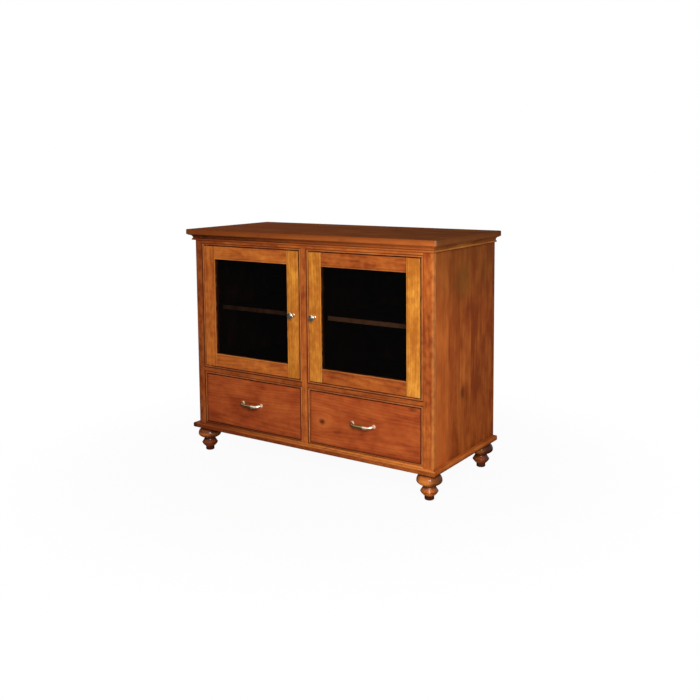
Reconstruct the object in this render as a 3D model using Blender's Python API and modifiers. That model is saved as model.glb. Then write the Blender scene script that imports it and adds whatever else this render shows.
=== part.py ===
"""Media cabinet in stained cherry: two glass doors over two drawers, on turned feet.

Each board, moulding, hinge leaf and handle is its own object. Metres, +Z up, the front faces -Y.
The origin is on the floor, under the middle of the cabinet's box.
"""

import math

import bmesh
import bpy
from mathutils import Matrix, Vector

# Overall size; the depth follows from the drawers
CARCASS_WIDTH = 1.143
TOTAL_HEIGHT = 0.956

# Clearances
SEAT_GAP = 0.0003
DOOR_GAP = 0.0025
DRAWER_GAP = 0.002
GLASS_GAP = 0.0005

# Boards of the carcass
BOARD_THICKNESS = 0.019
FLOOR_THICKNESS = 0.018
SHELF_THICKNESS = 0.018
SHELF_TOP_HEIGHT = 0.6145
SHELF_SETBACK = 0.147
SHELF_EASE = 0.001
HOUSING_DEPTH = 0.006
BACK_THICKNESS = 0.006
BACK_RABBET = 0.010
CABLE_HOLE_RADIUS = 0.030
CABLE_HOLE_HEIGHT = 0.480

# Top board, with its nose worked on the front and both ends
TOP_THICKNESS = 0.022
TOP_OVERHANG = 0.027
TOP_NOSE = 0.0045
TOP_NOSE_UNDER = 0.004
TOP_CORNER = 0.008

# Crown under the top: a cove over a bead
CROWN_HEIGHT = 0.024
CROWN_REACH = 0.019
CROWN_FILLET = 0.002
CROWN_NECK = 0.0045
CROWN_BEAD_REACH = 0.0085
CROWN_BEAD_RADIUS = 0.0042
CROWN_BEAD_QUIRK = 0.001

# Base moulding, a square strip with rounded edges
BASE_HEIGHT = 0.020
BASE_OVERHANG = 0.017
BASE_UPPER_ROUND = 0.0045
BASE_UNDER_ROUND = 0.005

# Turned feet
FOOT_HEIGHT = 0.103
FOOT_BUN_RADIUS = 0.048
FOOT_BUN_HEIGHT = 0.073
FOOT_NECK_RADIUS = 0.0248
FOOT_NECK_TOP = 0.0557
FOOT_NECK_LOW = 0.0475
FOOT_RING_RADIUS = 0.0335
FOOT_RING_HEIGHT = 0.033
FOOT_TAPER_BULGE = 0.002
FOOT_PAD_RADIUS = 0.018
FOOT_PAD_HEIGHT = 0.015
FOOT_PAD_EASE = 0.004
FOOT_COLLAR_HEIGHT = 0.004
FOOT_COLLAR_RADIUS = 0.034

# Face frame, with a bead round each opening
FRAME_THICKNESS = 0.020
STILE_WIDTH = 0.048
MULLION_WIDTH = 0.042
TOP_RAIL_HEIGHT = 0.0427
MIDDLE_RAIL_HEIGHT = 0.0324
BOTTOM_RAIL_HEIGHT = 0.0314
DRAWER_OPENING_HEIGHT = 0.210
BEAD_RADIUS = 0.003
QUIRK_WIDTH = 0.002
CORNER_ROUND = 0.010

# Doors
DOOR_THICKNESS = 0.020
DOOR_STILE_WIDTH = 0.060
DOOR_RAIL_WIDTH = 0.056
DOOR_OUTER_ROUND = 0.001
DOOR_INNER_ROUND = 0.003
DOOR_LIP = 0.008
DOOR_RABBET = 0.008
GLASS_THICKNESS = 0.004

# Pivot hinges, let into the door ends and the rails
PIVOT_INSET = 0.012
PIVOT_DEPTH = 0.007
PIN_RADIUS = 0.0018
COLLAR_RADIUS = 0.0029
LEAF_WIDTH = 0.0064
LEAF_THICKNESS = 0.002
LEAF_END_WOOD = 0.0028

# Drawers
DRAWER_FRONT_THICKNESS = 0.020
DRAWER_EDGE_ROUND = 0.0015
DRAWER_BOX_DEPTH = 0.450
DRAWER_BACK_ROOM = 0.052
DRAWER_BOX_HEIGHT = 0.150
DRAWER_BOX_CLEARANCE = 0.004
DRAWER_SIDE_THICKNESS = 0.012
DRAWER_BOTTOM_THICKNESS = 0.006
DRAWER_GROOVE_HEIGHT = 0.008
DRAWER_GROOVE_DEPTH = 0.006
DOVETAIL_COUNT = 4
DOVETAIL_LENGTH = 0.012
DOVETAIL_ROOT_WIDTH = 0.021
DOVETAIL_FLARE = 0.002

# Drawer runners, an L in section
RUNNER_LIFT = 0.003
RUNNER_LEDGE = 0.003
RUNNER_GUIDE_HEIGHT = 0.020
RUNNER_GUIDE_CLEARANCE = 0.001

# Knobs, turned
KNOB_RADIUS = 0.0132
KNOB_PROJECTION = 0.0265
KNOB_DISC = 0.0075
KNOB_EDGE_ROUND = 0.0022
KNOB_CROWN = 0.0022
KNOB_STEM_RADIUS = 0.0048
KNOB_ROSE_RADIUS = 0.008
KNOB_ROSE_THICKNESS = 0.001
KNOB_INSET = 0.028

# Pulls, bowed bars that hang a little below their flared feet
PULL_SPACING = 0.096
PULL_PROJECTION = 0.0196
PULL_DROOP = 0.010
PULL_SQUARENESS = 3.2
PULL_MIDDLE_RADIUS = 0.0069
PULL_NECK_RADIUS = 0.0058
PULL_FOOT_RADIUS = 0.0082
PULL_FOOT_LENGTH = 0.010
PULL_RISE = 0.006

# Fineness of round work, and how far a cutter runs past what it cuts
TURNING_STEPS = 20
EASE_STEPS = 2
ROUND_STEPS = 4
NOSE_STEPS = 4
BEAD_STEPS = 8
MOULDING_STEPS = 6
FOOT_SHOULDER_STEPS = 3
FOOT_BUN_STEPS = 5
FOOT_TAPER_STEPS = 3
KNOB_STEPS = 3
PULL_POINTS = 19
PIN_STEPS = 12
HOLE_STEPS = 24
SHARP_ANGLE = math.radians(35)
PULL_SHARP_ANGLE = math.radians(50)
WELD_DISTANCE = 1e-6
LATHE_WELD_DISTANCE = 1e-5
CUT_MARGIN = 0.005

# Levels and planes worked out from the sizes above
HALF_WIDTH = CARCASS_WIDTH / 2
CARCASS_DEPTH = DRAWER_BOX_DEPTH + DRAWER_BACK_ROOM + BACK_THICKNESS
FRONT_Y = (TOP_OVERHANG - CARCASS_DEPTH) / 2
BACK_Y = FRONT_Y + CARCASS_DEPTH
FRAME_BACK_Y = FRONT_Y + FRAME_THICKNESS
CARCASS_FRONT_Y = FRAME_BACK_Y + SEAT_GAP
INSIDE_BACK_Y = BACK_Y - BACK_THICKNESS - SEAT_GAP
CARCASS_TOP_Z = TOTAL_HEIGHT - TOP_THICKNESS - SEAT_GAP
SIDE_INSIDE_X = HALF_WIDTH - BOARD_THICKNESS
HOUSED_X = SIDE_INSIDE_X + HOUSING_DEPTH - SEAT_GAP
OPENING_INNER_X = MULLION_WIDTH / 2
OPENING_OUTER_X = HALF_WIDTH - STILE_WIDTH
DRAWER_LOW_Z = FOOT_HEIGHT + BOTTOM_RAIL_HEIGHT
DRAWER_HIGH_Z = DRAWER_LOW_Z + DRAWER_OPENING_HEIGHT
DOOR_LOW_Z = DRAWER_HIGH_Z + MIDDLE_RAIL_HEIGHT
DOOR_HIGH_Z = CARCASS_TOP_Z - TOP_RAIL_HEIGHT
DECK_LOW_Z = DOOR_LOW_Z - FLOOR_THICKNESS
FLOOR_TOP_Z = FOOT_HEIGHT + FLOOR_THICKNESS
BEAD_WIDTH = 2 * BEAD_RADIUS + QUIRK_WIDTH
MITRE_DEPTH = BEAD_WIDTH + SEAT_GAP
MITRE_GAP = SEAT_GAP * math.sqrt(2)
RUNNER_TOP_Z = DRAWER_LOW_Z + RUNNER_LIFT
PIVOT_X = OPENING_OUTER_X - DOOR_GAP - PIVOT_INSET
PIVOT_Y = FRONT_Y + PIVOT_DEPTH
LEAF_LENGTH = DOOR_STILE_WIDTH - DOOR_RABBET - PIVOT_INSET - LEAF_WIDTH / 2 - LEAF_END_WOOD

SIDES = (("left", -1), ("right", 1))


# Scene, collections and materials


def clear_scene():
    for obj in list(bpy.data.objects):
        bpy.data.objects.remove(obj, do_unlink=True)


def new_collection(name):
    collection = bpy.data.collections.new(name)
    bpy.context.scene.collection.children.link(collection)
    return collection


def finish(name, colour, roughness, metallic=0.0, transmission=0.0):
    material = bpy.data.materials.new(name)
    material.use_nodes = True
    shader = material.node_tree.nodes["Principled BSDF"]
    shader.inputs["Base Color"].default_value = (*colour, 1.0)
    shader.inputs["Roughness"].default_value = roughness
    shader.inputs["Metallic"].default_value = metallic
    shader.inputs["Transmission Weight"].default_value = transmission
    return material


clear_scene()
PIECES = new_collection("media_cabinet")
CUTTERS = new_collection("cutters")

TOP_WOOD = finish("top_cherry", (0.20, 0.075, 0.025), 0.35)
FRAME_WOOD = finish("frame_cherry", (0.36, 0.13, 0.035), 0.38)
DOOR_WOOD = finish("door_cherry", (0.47, 0.20, 0.05), 0.38)
DRAWER_WOOD = finish("drawer_cherry", (0.32, 0.08, 0.022), 0.38)
BASE_WOOD = finish("base_cherry", (0.22, 0.075, 0.022), 0.30)
INSIDE_WOOD = finish("inside_cherry", (0.13, 0.05, 0.02), 0.50)
BOX_WOOD = finish("drawer_maple", (0.60, 0.42, 0.24), 0.50)
GLASS = finish("smoked_glass", (0.03, 0.03, 0.035), 0.05, transmission=0.9)
NICKEL = finish("satin_nickel", (0.62, 0.58, 0.52), 0.25, metallic=1.0)
PULL_METAL = finish("warm_nickel", (0.66, 0.54, 0.38), 0.25, metallic=1.0)
HINGE_BRASS = finish("hinge_brass", (0.60, 0.42, 0.16), 0.35, metallic=1.0)


# Objects: a piece or cutter takes its mesh's name, and its mesh comes in world places


def hang_on_axis(obj, axis):
    """Parents an object to the empty that it turns or slides on, and leaves it where it is."""
    if axis is not None:
        obj.data.transform(Matrix.Translation(-axis.location))
        obj.parent = axis


def add_piece(mesh, material, axis=None):
    obj = bpy.data.objects.new(mesh.name, mesh)
    mesh.materials.append(material)
    PIECES.objects.link(obj)
    hang_on_axis(obj, axis)
    return obj


def add_cutter(mesh, axis=None):
    obj = bpy.data.objects.new(mesh.name, mesh)
    obj.hide_render = True
    obj.display_type = "WIRE"
    CUTTERS.objects.link(obj)
    hang_on_axis(obj, axis)
    return obj


def add_axis(name, location):
    axis = bpy.data.objects.new(name, None)
    axis.location = location
    PIECES.objects.link(axis)
    return axis


def combine(piece, cutter, operation="DIFFERENCE"):
    modifier = piece.modifiers.new(cutter.name, "BOOLEAN")
    modifier.operation = operation
    modifier.object = cutter


def ease_edges(piece, radius):
    bevel = piece.modifiers.new("eased_edges", "BEVEL")
    bevel.width = radius
    bevel.segments = EASE_STEPS
    bevel.limit_method = "ANGLE"


# Meshes


def mesh_from_form(form, name):
    mesh = bpy.data.meshes.new(name)
    form.to_mesh(mesh)
    form.free()
    return mesh


def box_mesh(name, low, high, growth=0.0):
    """A box between two corners, grown all round where it is the room for another box."""
    low = Vector(low) - Vector((growth, growth, growth))
    high = Vector(high) + Vector((growth, growth, growth))
    form = bmesh.new()
    bmesh.ops.create_cube(form, size=1.0)
    place = Matrix.Translation((low + high) / 2) @ Matrix.Diagonal((*(high - low), 1.0))
    bmesh.ops.transform(form, matrix=place, verts=form.verts)
    return mesh_from_form(form, name)


def pin_mesh(name, radius, low_z, high_z, x, y):
    form = bmesh.new()
    depth = high_z - low_z
    bmesh.ops.create_cone(
        form, cap_ends=True, segments=PIN_STEPS, radius1=radius, radius2=radius, depth=depth
    )
    bmesh.ops.translate(form, vec=(x, y, (low_z + high_z) / 2), verts=form.verts)
    return mesh_from_form(form, name)


def mesh_from_curve(curve):
    """The curve's filled and extruded or bevelled form as one closed mesh."""
    holder = bpy.data.objects.new(curve.name, curve)
    bpy.context.scene.collection.objects.link(holder)
    bpy.context.view_layer.update()
    graph = bpy.context.evaluated_depsgraph_get()
    mesh = bpy.data.meshes.new_from_object(holder.evaluated_get(graph))
    mesh.name = curve.name
    bpy.data.objects.remove(holder, do_unlink=True)
    bpy.data.curves.remove(curve)
    form = bmesh.new()
    form.from_mesh(mesh)
    bmesh.ops.remove_doubles(form, verts=form.verts, dist=WELD_DISTANCE)
    bmesh.ops.recalc_face_normals(form, faces=form.faces)
    form.to_mesh(mesh)
    form.free()
    return mesh


def prism_mesh(name, outlines, directions, span):
    """Flat outlines carried along a straight line; an outline inside another one is a hole.

    The directions are those of an outline's two coordinates and of the line. The span gives its ends.
    """
    curve = bpy.data.curves.new(name, "CURVE")
    curve.dimensions = "2D"
    curve.fill_mode = "BOTH"
    curve.extrude = (span[1] - span[0]) / 2
    for outline in outlines:
        spline = curve.splines.new("POLY")
        spline.points.add(len(outline) - 1)
        for point, (across, up) in zip(spline.points, outline):
            point.co = (across, up, 0.0, 1.0)
        spline.use_cyclic_u = True
    mesh = mesh_from_curve(curve)
    turn = Matrix(directions).transposed().to_4x4()
    middle = Vector(directions[2]) * (span[0] + span[1]) / 2
    mesh.transform(Matrix.Translation(middle) @ turn)
    if turn.determinant() < 0:
        mesh.flip_normals()
    mesh.shade_smooth()
    mesh.set_sharp_from_angle(angle=SHARP_ANGLE)
    return mesh


def prism_along_x(name, outlines, span):
    """Outlines in (y, z)."""
    return prism_mesh(name, outlines, ((0, 1, 0), (0, 0, 1), (1, 0, 0)), span)


def prism_along_y(name, outlines, span):
    """Outlines in (x, z)."""
    return prism_mesh(name, outlines, ((1, 0, 0), (0, 0, 1), (0, 1, 0)), span)


def prism_along_z(name, outlines, span):
    """Outlines in (x, y)."""
    return prism_mesh(name, outlines, ((1, 0, 0), (0, 1, 0), (0, 0, 1)), span)


def turned_piece(name, profile, material, place, axis=None):
    """A lathe-turned piece: profile points (radius, height) run down its outer side, top to bottom."""
    mesh = bpy.data.meshes.new(name)
    points = [(radius, 0.0, height) for radius, height in profile]
    mesh.from_pydata(points, [(start, start + 1) for start in range(len(points) - 1)], [])
    obj = add_piece(mesh, material)
    obj.parent = axis
    obj.matrix_basis = place if axis is None else Matrix.Translation(-axis.location) @ place
    lathe = obj.modifiers.new("lathe", "SCREW")
    lathe.steps = TURNING_STEPS
    lathe.render_steps = TURNING_STEPS
    lathe.use_merge_vertices = True
    lathe.merge_threshold = LATHE_WELD_DISTANCE
    return obj


# Outlines


def arc(centre, radii, first, last, steps):
    """Points on an ellipse's arc, with angles in degrees from the first axis."""
    points = []
    for step in range(steps + 1):
        angle = math.radians(first + (last - first) * step / steps)
        across = centre[0] + radii[0] * math.cos(angle)
        points.append((across, centre[1] + radii[1] * math.sin(angle)))
    return points


def circle(centre, radius, steps):
    return arc(centre, (radius, radius), 0, 360 - 360 / steps, steps - 1)


def rectangle(low, high):
    return [(low[0], low[1]), (high[0], low[1]), (high[0], high[1]), (low[0], high[1])]


def obround(ends_x, middle_y, half_width):
    """Outline of a strip with round ends, between two end centres on a line along x."""
    radii = (half_width, half_width)
    low, high = sorted(ends_x)
    first = arc((high, middle_y), radii, -90, 90, ROUND_STEPS)
    return first + arc((low, middle_y), radii, 90, 270, ROUND_STEPS)


def mirrored(outline):
    return [(-across, up) for across, up in reversed(outline)]


def on_side(side, *distances):
    """Distances from the middle as x values on one side, the lower one first."""
    return sorted(side * distance for distance in distances)


# Face frame: each member is its moulded section, cut to its outline in the front elevation


def bead_edge():
    """The worked edge from the opening's side to the flat face: a half-round bead, then its quirk."""
    points = arc((BEAD_RADIUS, BEAD_RADIUS), (BEAD_RADIUS, BEAD_RADIUS), 180, 360, BEAD_STEPS)
    return [*points, (BEAD_WIDTH, BEAD_RADIUS), (BEAD_WIDTH, 0.0)]


def frame_section(width, low_bead, high_bead):
    """Section of a frame member: (distance across, depth behind the face)."""
    low = bead_edge() if low_bead else [(0.0, 0.0)]
    high = bead_edge() if high_bead else [(0.0, 0.0)]
    high = [(width - across, depth) for across, depth in reversed(high)]
    return [(0.0, FRAME_THICKNESS), *low, *high, (width, FRAME_THICKNESS)]


def add_upright(name, low_x, width, beads, outline):
    section = [(low_x + across, FRONT_Y + depth) for across, depth in frame_section(width, *beads)]
    span = (FOOT_HEIGHT - CUT_MARGIN, CARCASS_TOP_Z + CUT_MARGIN)
    upright = add_piece(prism_along_z(name, [section], span), FRAME_WOOD)
    trim_to_outline(upright, outline)
    return upright


def add_rail(name, low_z, height, beads, span, outline):
    section = [(FRONT_Y + depth, low_z + across) for across, depth in frame_section(height, *beads)]
    rail = add_piece(prism_along_x(name, [section], span), FRAME_WOOD)
    trim_to_outline(rail, outline)
    return rail


def trim_to_outline(piece, outline):
    span = (FRONT_Y - CUT_MARGIN, FRAME_BACK_Y + CUT_MARGIN)
    combine(piece, add_cutter(prism_along_y(piece.name + "_outline", [outline], span)), "INTERSECT")


def upright_edge(edge_x):
    """Right-hand edge of an upright, from bottom to top: full at the openings, mitred back at the rails."""
    notch_x = edge_x - MITRE_DEPTH
    full_x = edge_x + CUT_MARGIN
    points = []
    for low_z, high_z in ((DRAWER_LOW_Z, DRAWER_HIGH_Z), (DOOR_LOW_Z, DOOR_HIGH_Z)):
        points.append((notch_x, low_z - MITRE_DEPTH))
        points.append((full_x, low_z + CUT_MARGIN))
        points.append((full_x, high_z - CUT_MARGIN))
        points.append((notch_x, high_z + MITRE_DEPTH))
    return points


def rail_end(edge_x, low_z, high_z, low_bead, high_bead):
    """Right-hand end of a rail, from bottom to top, mitred where a bead turns the corner."""
    tip_x = edge_x - CUT_MARGIN - MITRE_GAP
    end_x = edge_x + MITRE_DEPTH - MITRE_GAP
    low = [(tip_x, low_z - CUT_MARGIN), (end_x, low_z + MITRE_DEPTH)]
    high = [(end_x, high_z - MITRE_DEPTH), (tip_x, high_z + CUT_MARGIN)]
    plain_low = [(end_x, low_z - CUT_MARGIN)]
    plain_high = [(end_x, high_z + CUT_MARGIN)]
    return (low if low_bead else plain_low) + (high if high_bead else plain_high)


def mullion_notch(edge_z, up):
    """Notch in a rail's edge for the mullion's mitred end, from left to right. up is 1 in the top rail."""
    mouth_x = OPENING_INNER_X + MITRE_GAP + CUT_MARGIN
    seat = MITRE_DEPTH + SEAT_GAP
    seat_x = OPENING_INNER_X + MITRE_GAP - seat
    half = [(seat_x, edge_z + up * seat), (mouth_x, edge_z - up * CUT_MARGIN)]
    return mirrored(half) + half


def round_stile_corner(stile, side):
    """Rounds the outer corner between base and crown, and stops there."""
    middle = (HALF_WIDTH - CORNER_ROUND, FRONT_Y + CORNER_ROUND)
    curve = arc(middle, (CORNER_ROUND, CORNER_ROUND), -90, 0, MOULDING_STEPS)
    beyond_x = HALF_WIDTH + CUT_MARGIN
    beyond_y = FRONT_Y - CUT_MARGIN
    waste = [*curve, (beyond_x, curve[-1][1]), (beyond_x, beyond_y), (curve[0][0], beyond_y)]
    waste = [(side * x, y) for x, y in waste]
    span = (FOOT_HEIGHT + BASE_HEIGHT, CARCASS_TOP_Z - CROWN_HEIGHT)
    combine(stile, add_cutter(prism_along_z(stile.name + "_corner", [waste], span)))


def make_face_frame():
    """Stiles, mullion and rails. Gives back the rails that carry hinges."""
    edge = upright_edge(-OPENING_OUTER_X)
    outside_x = -HALF_WIDTH - CUT_MARGIN
    notch_x = edge[0][0]
    outline = [(outside_x, FOOT_HEIGHT), (notch_x, FOOT_HEIGHT), *edge]
    outline += [(notch_x, CARCASS_TOP_Z), (outside_x, CARCASS_TOP_Z)]
    left = add_upright("stile_left", -HALF_WIDTH, STILE_WIDTH, (False, True), outline)
    right = add_upright("stile_right", OPENING_OUTER_X, STILE_WIDTH, (True, False), mirrored(outline))
    round_stile_corner(left, -1)
    round_stile_corner(right, 1)

    edge = upright_edge(OPENING_INNER_X)
    add_upright("mullion", -OPENING_INNER_X, MULLION_WIDTH, (True, True), edge + mirrored(edge))

    reach = OPENING_OUTER_X + MITRE_DEPTH + CUT_MARGIN
    end = rail_end(OPENING_OUTER_X, DOOR_HIGH_Z, CARCASS_TOP_Z, True, False)
    outline = mullion_notch(DOOR_HIGH_Z, 1) + end + mirrored(end)
    top = add_rail("top_rail", DOOR_HIGH_Z, TOP_RAIL_HEIGHT, (True, False), (-reach, reach), outline)
    end = rail_end(OPENING_OUTER_X, FOOT_HEIGHT, DRAWER_LOW_Z, False, True)
    outline = end + list(reversed(mullion_notch(DRAWER_LOW_Z, -1))) + mirrored(end)
    add_rail("bottom_rail", FOOT_HEIGHT, BOTTOM_RAIL_HEIGHT, (False, True), (-reach, reach), outline)

    carriers = {"top": top}
    levels = (DRAWER_HIGH_Z, DOOR_LOW_Z, True, True)
    outline = rail_end(OPENING_OUTER_X, *levels) + mirrored(rail_end(-OPENING_INNER_X, *levels))
    for word, side in SIDES:
        name = "middle_rail_" + word
        span = on_side(side, OPENING_INNER_X - MITRE_DEPTH - CUT_MARGIN, reach)
        own = outline if side > 0 else mirrored(outline)
        carriers[word] = add_rail(name, DRAWER_HIGH_Z, MIDDLE_RAIL_HEIGHT, (True, True), span, own)
    return carriers


# Carcass boards: shelves, floor and deck are housed in the sides; partition and deck are halved together


def make_carcass():
    depth = (CARCASS_FRONT_Y, INSIDE_BACK_Y)
    half = BOARD_THICKNESS / 2

    shelf_rooms = {}
    for word, side in SIDES:
        ends = on_side(side, half - HOUSING_DEPTH + SEAT_GAP, HOUSED_X)
        low = (ends[0], FRONT_Y + SHELF_SETBACK, SHELF_TOP_HEIGHT - SHELF_THICKNESS)
        high = (ends[1], INSIDE_BACK_Y, SHELF_TOP_HEIGHT)
        shelf = add_piece(box_mesh("shelf_" + word, low, high), INSIDE_WOOD)
        ease_edges(shelf, SHELF_EASE)
        shelf_rooms[word] = add_cutter(box_mesh("shelf_housing_" + word, low, high, SEAT_GAP))

    floor = ((-HOUSED_X, depth[0], FOOT_HEIGHT), (HOUSED_X, depth[1], FLOOR_TOP_Z))
    add_piece(box_mesh("bottom_panel", *floor), INSIDE_WOOD)
    floor_room = add_cutter(box_mesh("bottom_housing", *floor, SEAT_GAP))

    lap_y = (depth[0] + depth[1]) / 2
    slot_x = half + SEAT_GAP
    deck_half = [(HOUSED_X, depth[0]), (HOUSED_X, depth[1]), (slot_x, depth[1]), (slot_x, lap_y)]
    deck = prism_along_z("deck_panel", [deck_half + mirrored(deck_half)], (DECK_LOW_Z, DOOR_LOW_Z))
    add_piece(deck, INSIDE_WOOD)
    deck_corners = ((-HOUSED_X, depth[0], DECK_LOW_Z), (HOUSED_X, depth[1], DOOR_LOW_Z))
    deck_room = add_cutter(box_mesh("deck_housing", *deck_corners, SEAT_GAP))

    slot = (DECK_LOW_Z - SEAT_GAP, DOOR_LOW_Z + SEAT_GAP)
    outline = [
        (depth[0], FLOOR_TOP_Z + SEAT_GAP),
        (depth[1], FLOOR_TOP_Z + SEAT_GAP),
        (depth[1], CARCASS_TOP_Z),
        (depth[0], CARCASS_TOP_Z),
        (depth[0], slot[1]),
        (lap_y + SEAT_GAP, slot[1]),
        (lap_y + SEAT_GAP, slot[0]),
        (depth[0], slot[0]),
    ]
    partition = add_piece(prism_along_x("partition", [outline], (-half, half)), INSIDE_WOOD)
    for room in shelf_rooms.values():
        combine(partition, room)

    rabbet_x = SIDE_INSIDE_X + BACK_RABBET
    for word, side in SIDES:
        outline = rectangle((SIDE_INSIDE_X, CARCASS_FRONT_Y), (HALF_WIDTH, BACK_Y))
        outline[3:] = [(rabbet_x, BACK_Y), (rabbet_x, INSIDE_BACK_Y), (SIDE_INSIDE_X, INSIDE_BACK_Y)]
        outline = [(side * x, y) for x, y in outline]
        span = (FOOT_HEIGHT, CARCASS_TOP_Z)
        panel = add_piece(prism_along_z("side_panel_" + word, [outline], span), FRAME_WOOD)
        for room in (shelf_rooms[word], deck_room, floor_room):
            combine(panel, room)

    edge_x = rabbet_x - SEAT_GAP
    bay_x = (half + SIDE_INSIDE_X) / 2
    outlines = [rectangle((-edge_x, FOOT_HEIGHT), (edge_x, CARCASS_TOP_Z))]
    for word, side in SIDES:
        outlines.append(circle((side * bay_x, CABLE_HOLE_HEIGHT), CABLE_HOLE_RADIUS, HOLE_STEPS))
    add_piece(prism_along_y("back_panel", outlines, (BACK_Y - BACK_THICKNESS, BACK_Y)), INSIDE_WOOD)


def make_top():
    """The top board: a box whose front and end edges carry the nose."""
    low = (-HALF_WIDTH - TOP_OVERHANG, FRONT_Y - TOP_OVERHANG, TOTAL_HEIGHT - TOP_THICKNESS)
    high = (HALF_WIDTH + TOP_OVERHANG, BACK_Y, TOTAL_HEIGHT)
    top = add_piece(box_mesh("top_panel", low, high), TOP_WOOD)
    widest = max(TOP_NOSE, TOP_NOSE_UNDER, TOP_CORNER)
    form = bmesh.new()
    form.from_mesh(top.data)
    weights = form.edges.layers.float.new("bevel_weight_edge")
    for edge in form.edges:
        ends = [vert.co for vert in edge.verts]
        upper = [end.z > high[2] - TOP_THICKNESS / 2 for end in ends]
        if all(end.y > 0 for end in ends):
            radius = 0.0
        elif all(upper):
            radius = TOP_NOSE
        elif any(upper):
            radius = TOP_CORNER
        else:
            radius = TOP_NOSE_UNDER
        edge[weights] = radius / widest
    form.to_mesh(top.data)
    form.free()
    nose = top.modifiers.new("nose", "BEVEL")
    nose.width = widest
    nose.segments = NOSE_STEPS
    nose.limit_method = "WEIGHT"


# Mouldings


def crown_profile():
    """(reach, height) round the crown's section: a bead below, then a cove up to the fillet."""
    bead_middle = (CROWN_BEAD_REACH - CROWN_BEAD_RADIUS, CROWN_BEAD_RADIUS)
    bead = arc(bead_middle, (CROWN_BEAD_RADIUS, CROWN_BEAD_RADIUS), -90, 90, MOULDING_STEPS)
    cove_low = 2 * CROWN_BEAD_RADIUS + CROWN_BEAD_QUIRK
    cove_radii = (CROWN_REACH - CROWN_NECK, CROWN_HEIGHT - CROWN_FILLET - cove_low)
    cove = arc((CROWN_REACH, cove_low), cove_radii, 180, 90, MOULDING_STEPS)
    return [(0.0, 0.0), *bead, *cove, (CROWN_REACH, CROWN_HEIGHT), (0.0, CROWN_HEIGHT)]


def base_profile():
    """(reach, height) round the base's section: a strip whose lower and upper edges are rounded."""
    under_middle = (BASE_OVERHANG - BASE_UNDER_ROUND, BASE_UNDER_ROUND)
    under = arc(under_middle, (BASE_UNDER_ROUND, BASE_UNDER_ROUND), -90, 0, ROUND_STEPS)
    upper_middle = (BASE_OVERHANG - BASE_UPPER_ROUND, BASE_HEIGHT - BASE_UPPER_ROUND)
    upper = arc(upper_middle, (BASE_UPPER_ROUND, BASE_UPPER_ROUND), 0, 90, ROUND_STEPS)
    return [(0.0, 0.0), *under, *upper, (0.0, BASE_HEIGHT)]


def mitre_end(mesh, axis, end, reach_of):
    """Slides one end of a straight strip along its length by the strip's own reach."""
    middle = sum(vert.co[axis] for vert in mesh.vertices) / len(mesh.vertices)
    for vert in mesh.vertices:
        if (vert.co[axis] > middle) == (end > 0):
            vert.co[axis] += end * reach_of(vert.co)


def make_moulding(word, profile, low_z):
    """Three mitred strips round the front and both ends of the carcass."""
    face_y = FRONT_Y - SEAT_GAP
    face_x = HALF_WIDTH + SEAT_GAP
    section = [(face_y - reach, low_z + height) for reach, height in profile]
    front = prism_along_x(word + "_front", [section], (-face_x, face_x))
    for end in (-1, 1):
        mitre_end(front, 0, end, lambda place: face_y - place.y)
    add_piece(front, BASE_WOOD)
    for side_word, side in SIDES:
        section = [(side * (face_x + reach), low_z + height) for reach, height in profile]
        strip = prism_along_y(word + "_" + side_word, [section], (face_y + MITRE_GAP, BACK_Y))
        mitre_end(strip, 1, -1, lambda place: abs(place.x) - face_x)
        add_piece(strip, BASE_WOOD)


# Feet


def foot_profile():
    """(radius, height) down the foot: collar, bun, neck, flared ring with a sharp edge, taper and pad.

    The bun is an ellipse about the axis, with one height up to the collar and another down to the neck.
    """
    top = FOOT_HEIGHT - SEAT_GAP
    collar_angle = math.acos(FOOT_COLLAR_RADIUS / FOOT_BUN_RADIUS)
    neck_angle = math.acos(FOOT_NECK_RADIUS / FOOT_BUN_RADIUS)
    rise = (top - FOOT_COLLAR_HEIGHT - FOOT_BUN_HEIGHT) / math.sin(collar_angle)
    drop = (FOOT_BUN_HEIGHT - FOOT_NECK_TOP) / math.sin(neck_angle)
    bun_middle = (0.0, FOOT_BUN_HEIGHT)
    upper = arc(bun_middle, (FOOT_BUN_RADIUS, rise), math.degrees(collar_angle), 0, FOOT_SHOULDER_STEPS)
    lower = arc(bun_middle, (FOOT_BUN_RADIUS, drop), 0, -math.degrees(neck_angle), FOOT_BUN_STEPS)
    taper = []
    for step in range(FOOT_TAPER_STEPS + 1):
        share = step / FOOT_TAPER_STEPS
        straight = FOOT_RING_RADIUS + (FOOT_PAD_RADIUS - FOOT_RING_RADIUS) * share
        height = FOOT_RING_HEIGHT + (FOOT_PAD_HEIGHT - FOOT_RING_HEIGHT) * share
        taper.append((straight + FOOT_TAPER_BULGE * 4 * share * (1 - share), height))
    neck = (FOOT_NECK_RADIUS, FOOT_NECK_LOW)
    pad = [(FOOT_PAD_RADIUS, FOOT_PAD_EASE), (FOOT_PAD_RADIUS - FOOT_PAD_EASE, 0.0)]
    return [(0.0, top), (FOOT_COLLAR_RADIUS, top), *upper, *lower[1:], neck, *taper, *pad, (0.0, 0.0)]


def make_feet():
    foot_x = HALF_WIDTH + BASE_OVERHANG - FOOT_BUN_RADIUS
    rows = {"front": FRONT_Y - BASE_OVERHANG + FOOT_BUN_RADIUS, "rear": BACK_Y - FOOT_BUN_RADIUS}
    for row, foot_y in rows.items():
        for word, side in SIDES:
            place = Matrix.Translation((side * foot_x, foot_y, 0.0))
            turned_piece("foot_" + row + "_" + word, foot_profile(), BASE_WOOD, place)


# Doors


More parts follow.
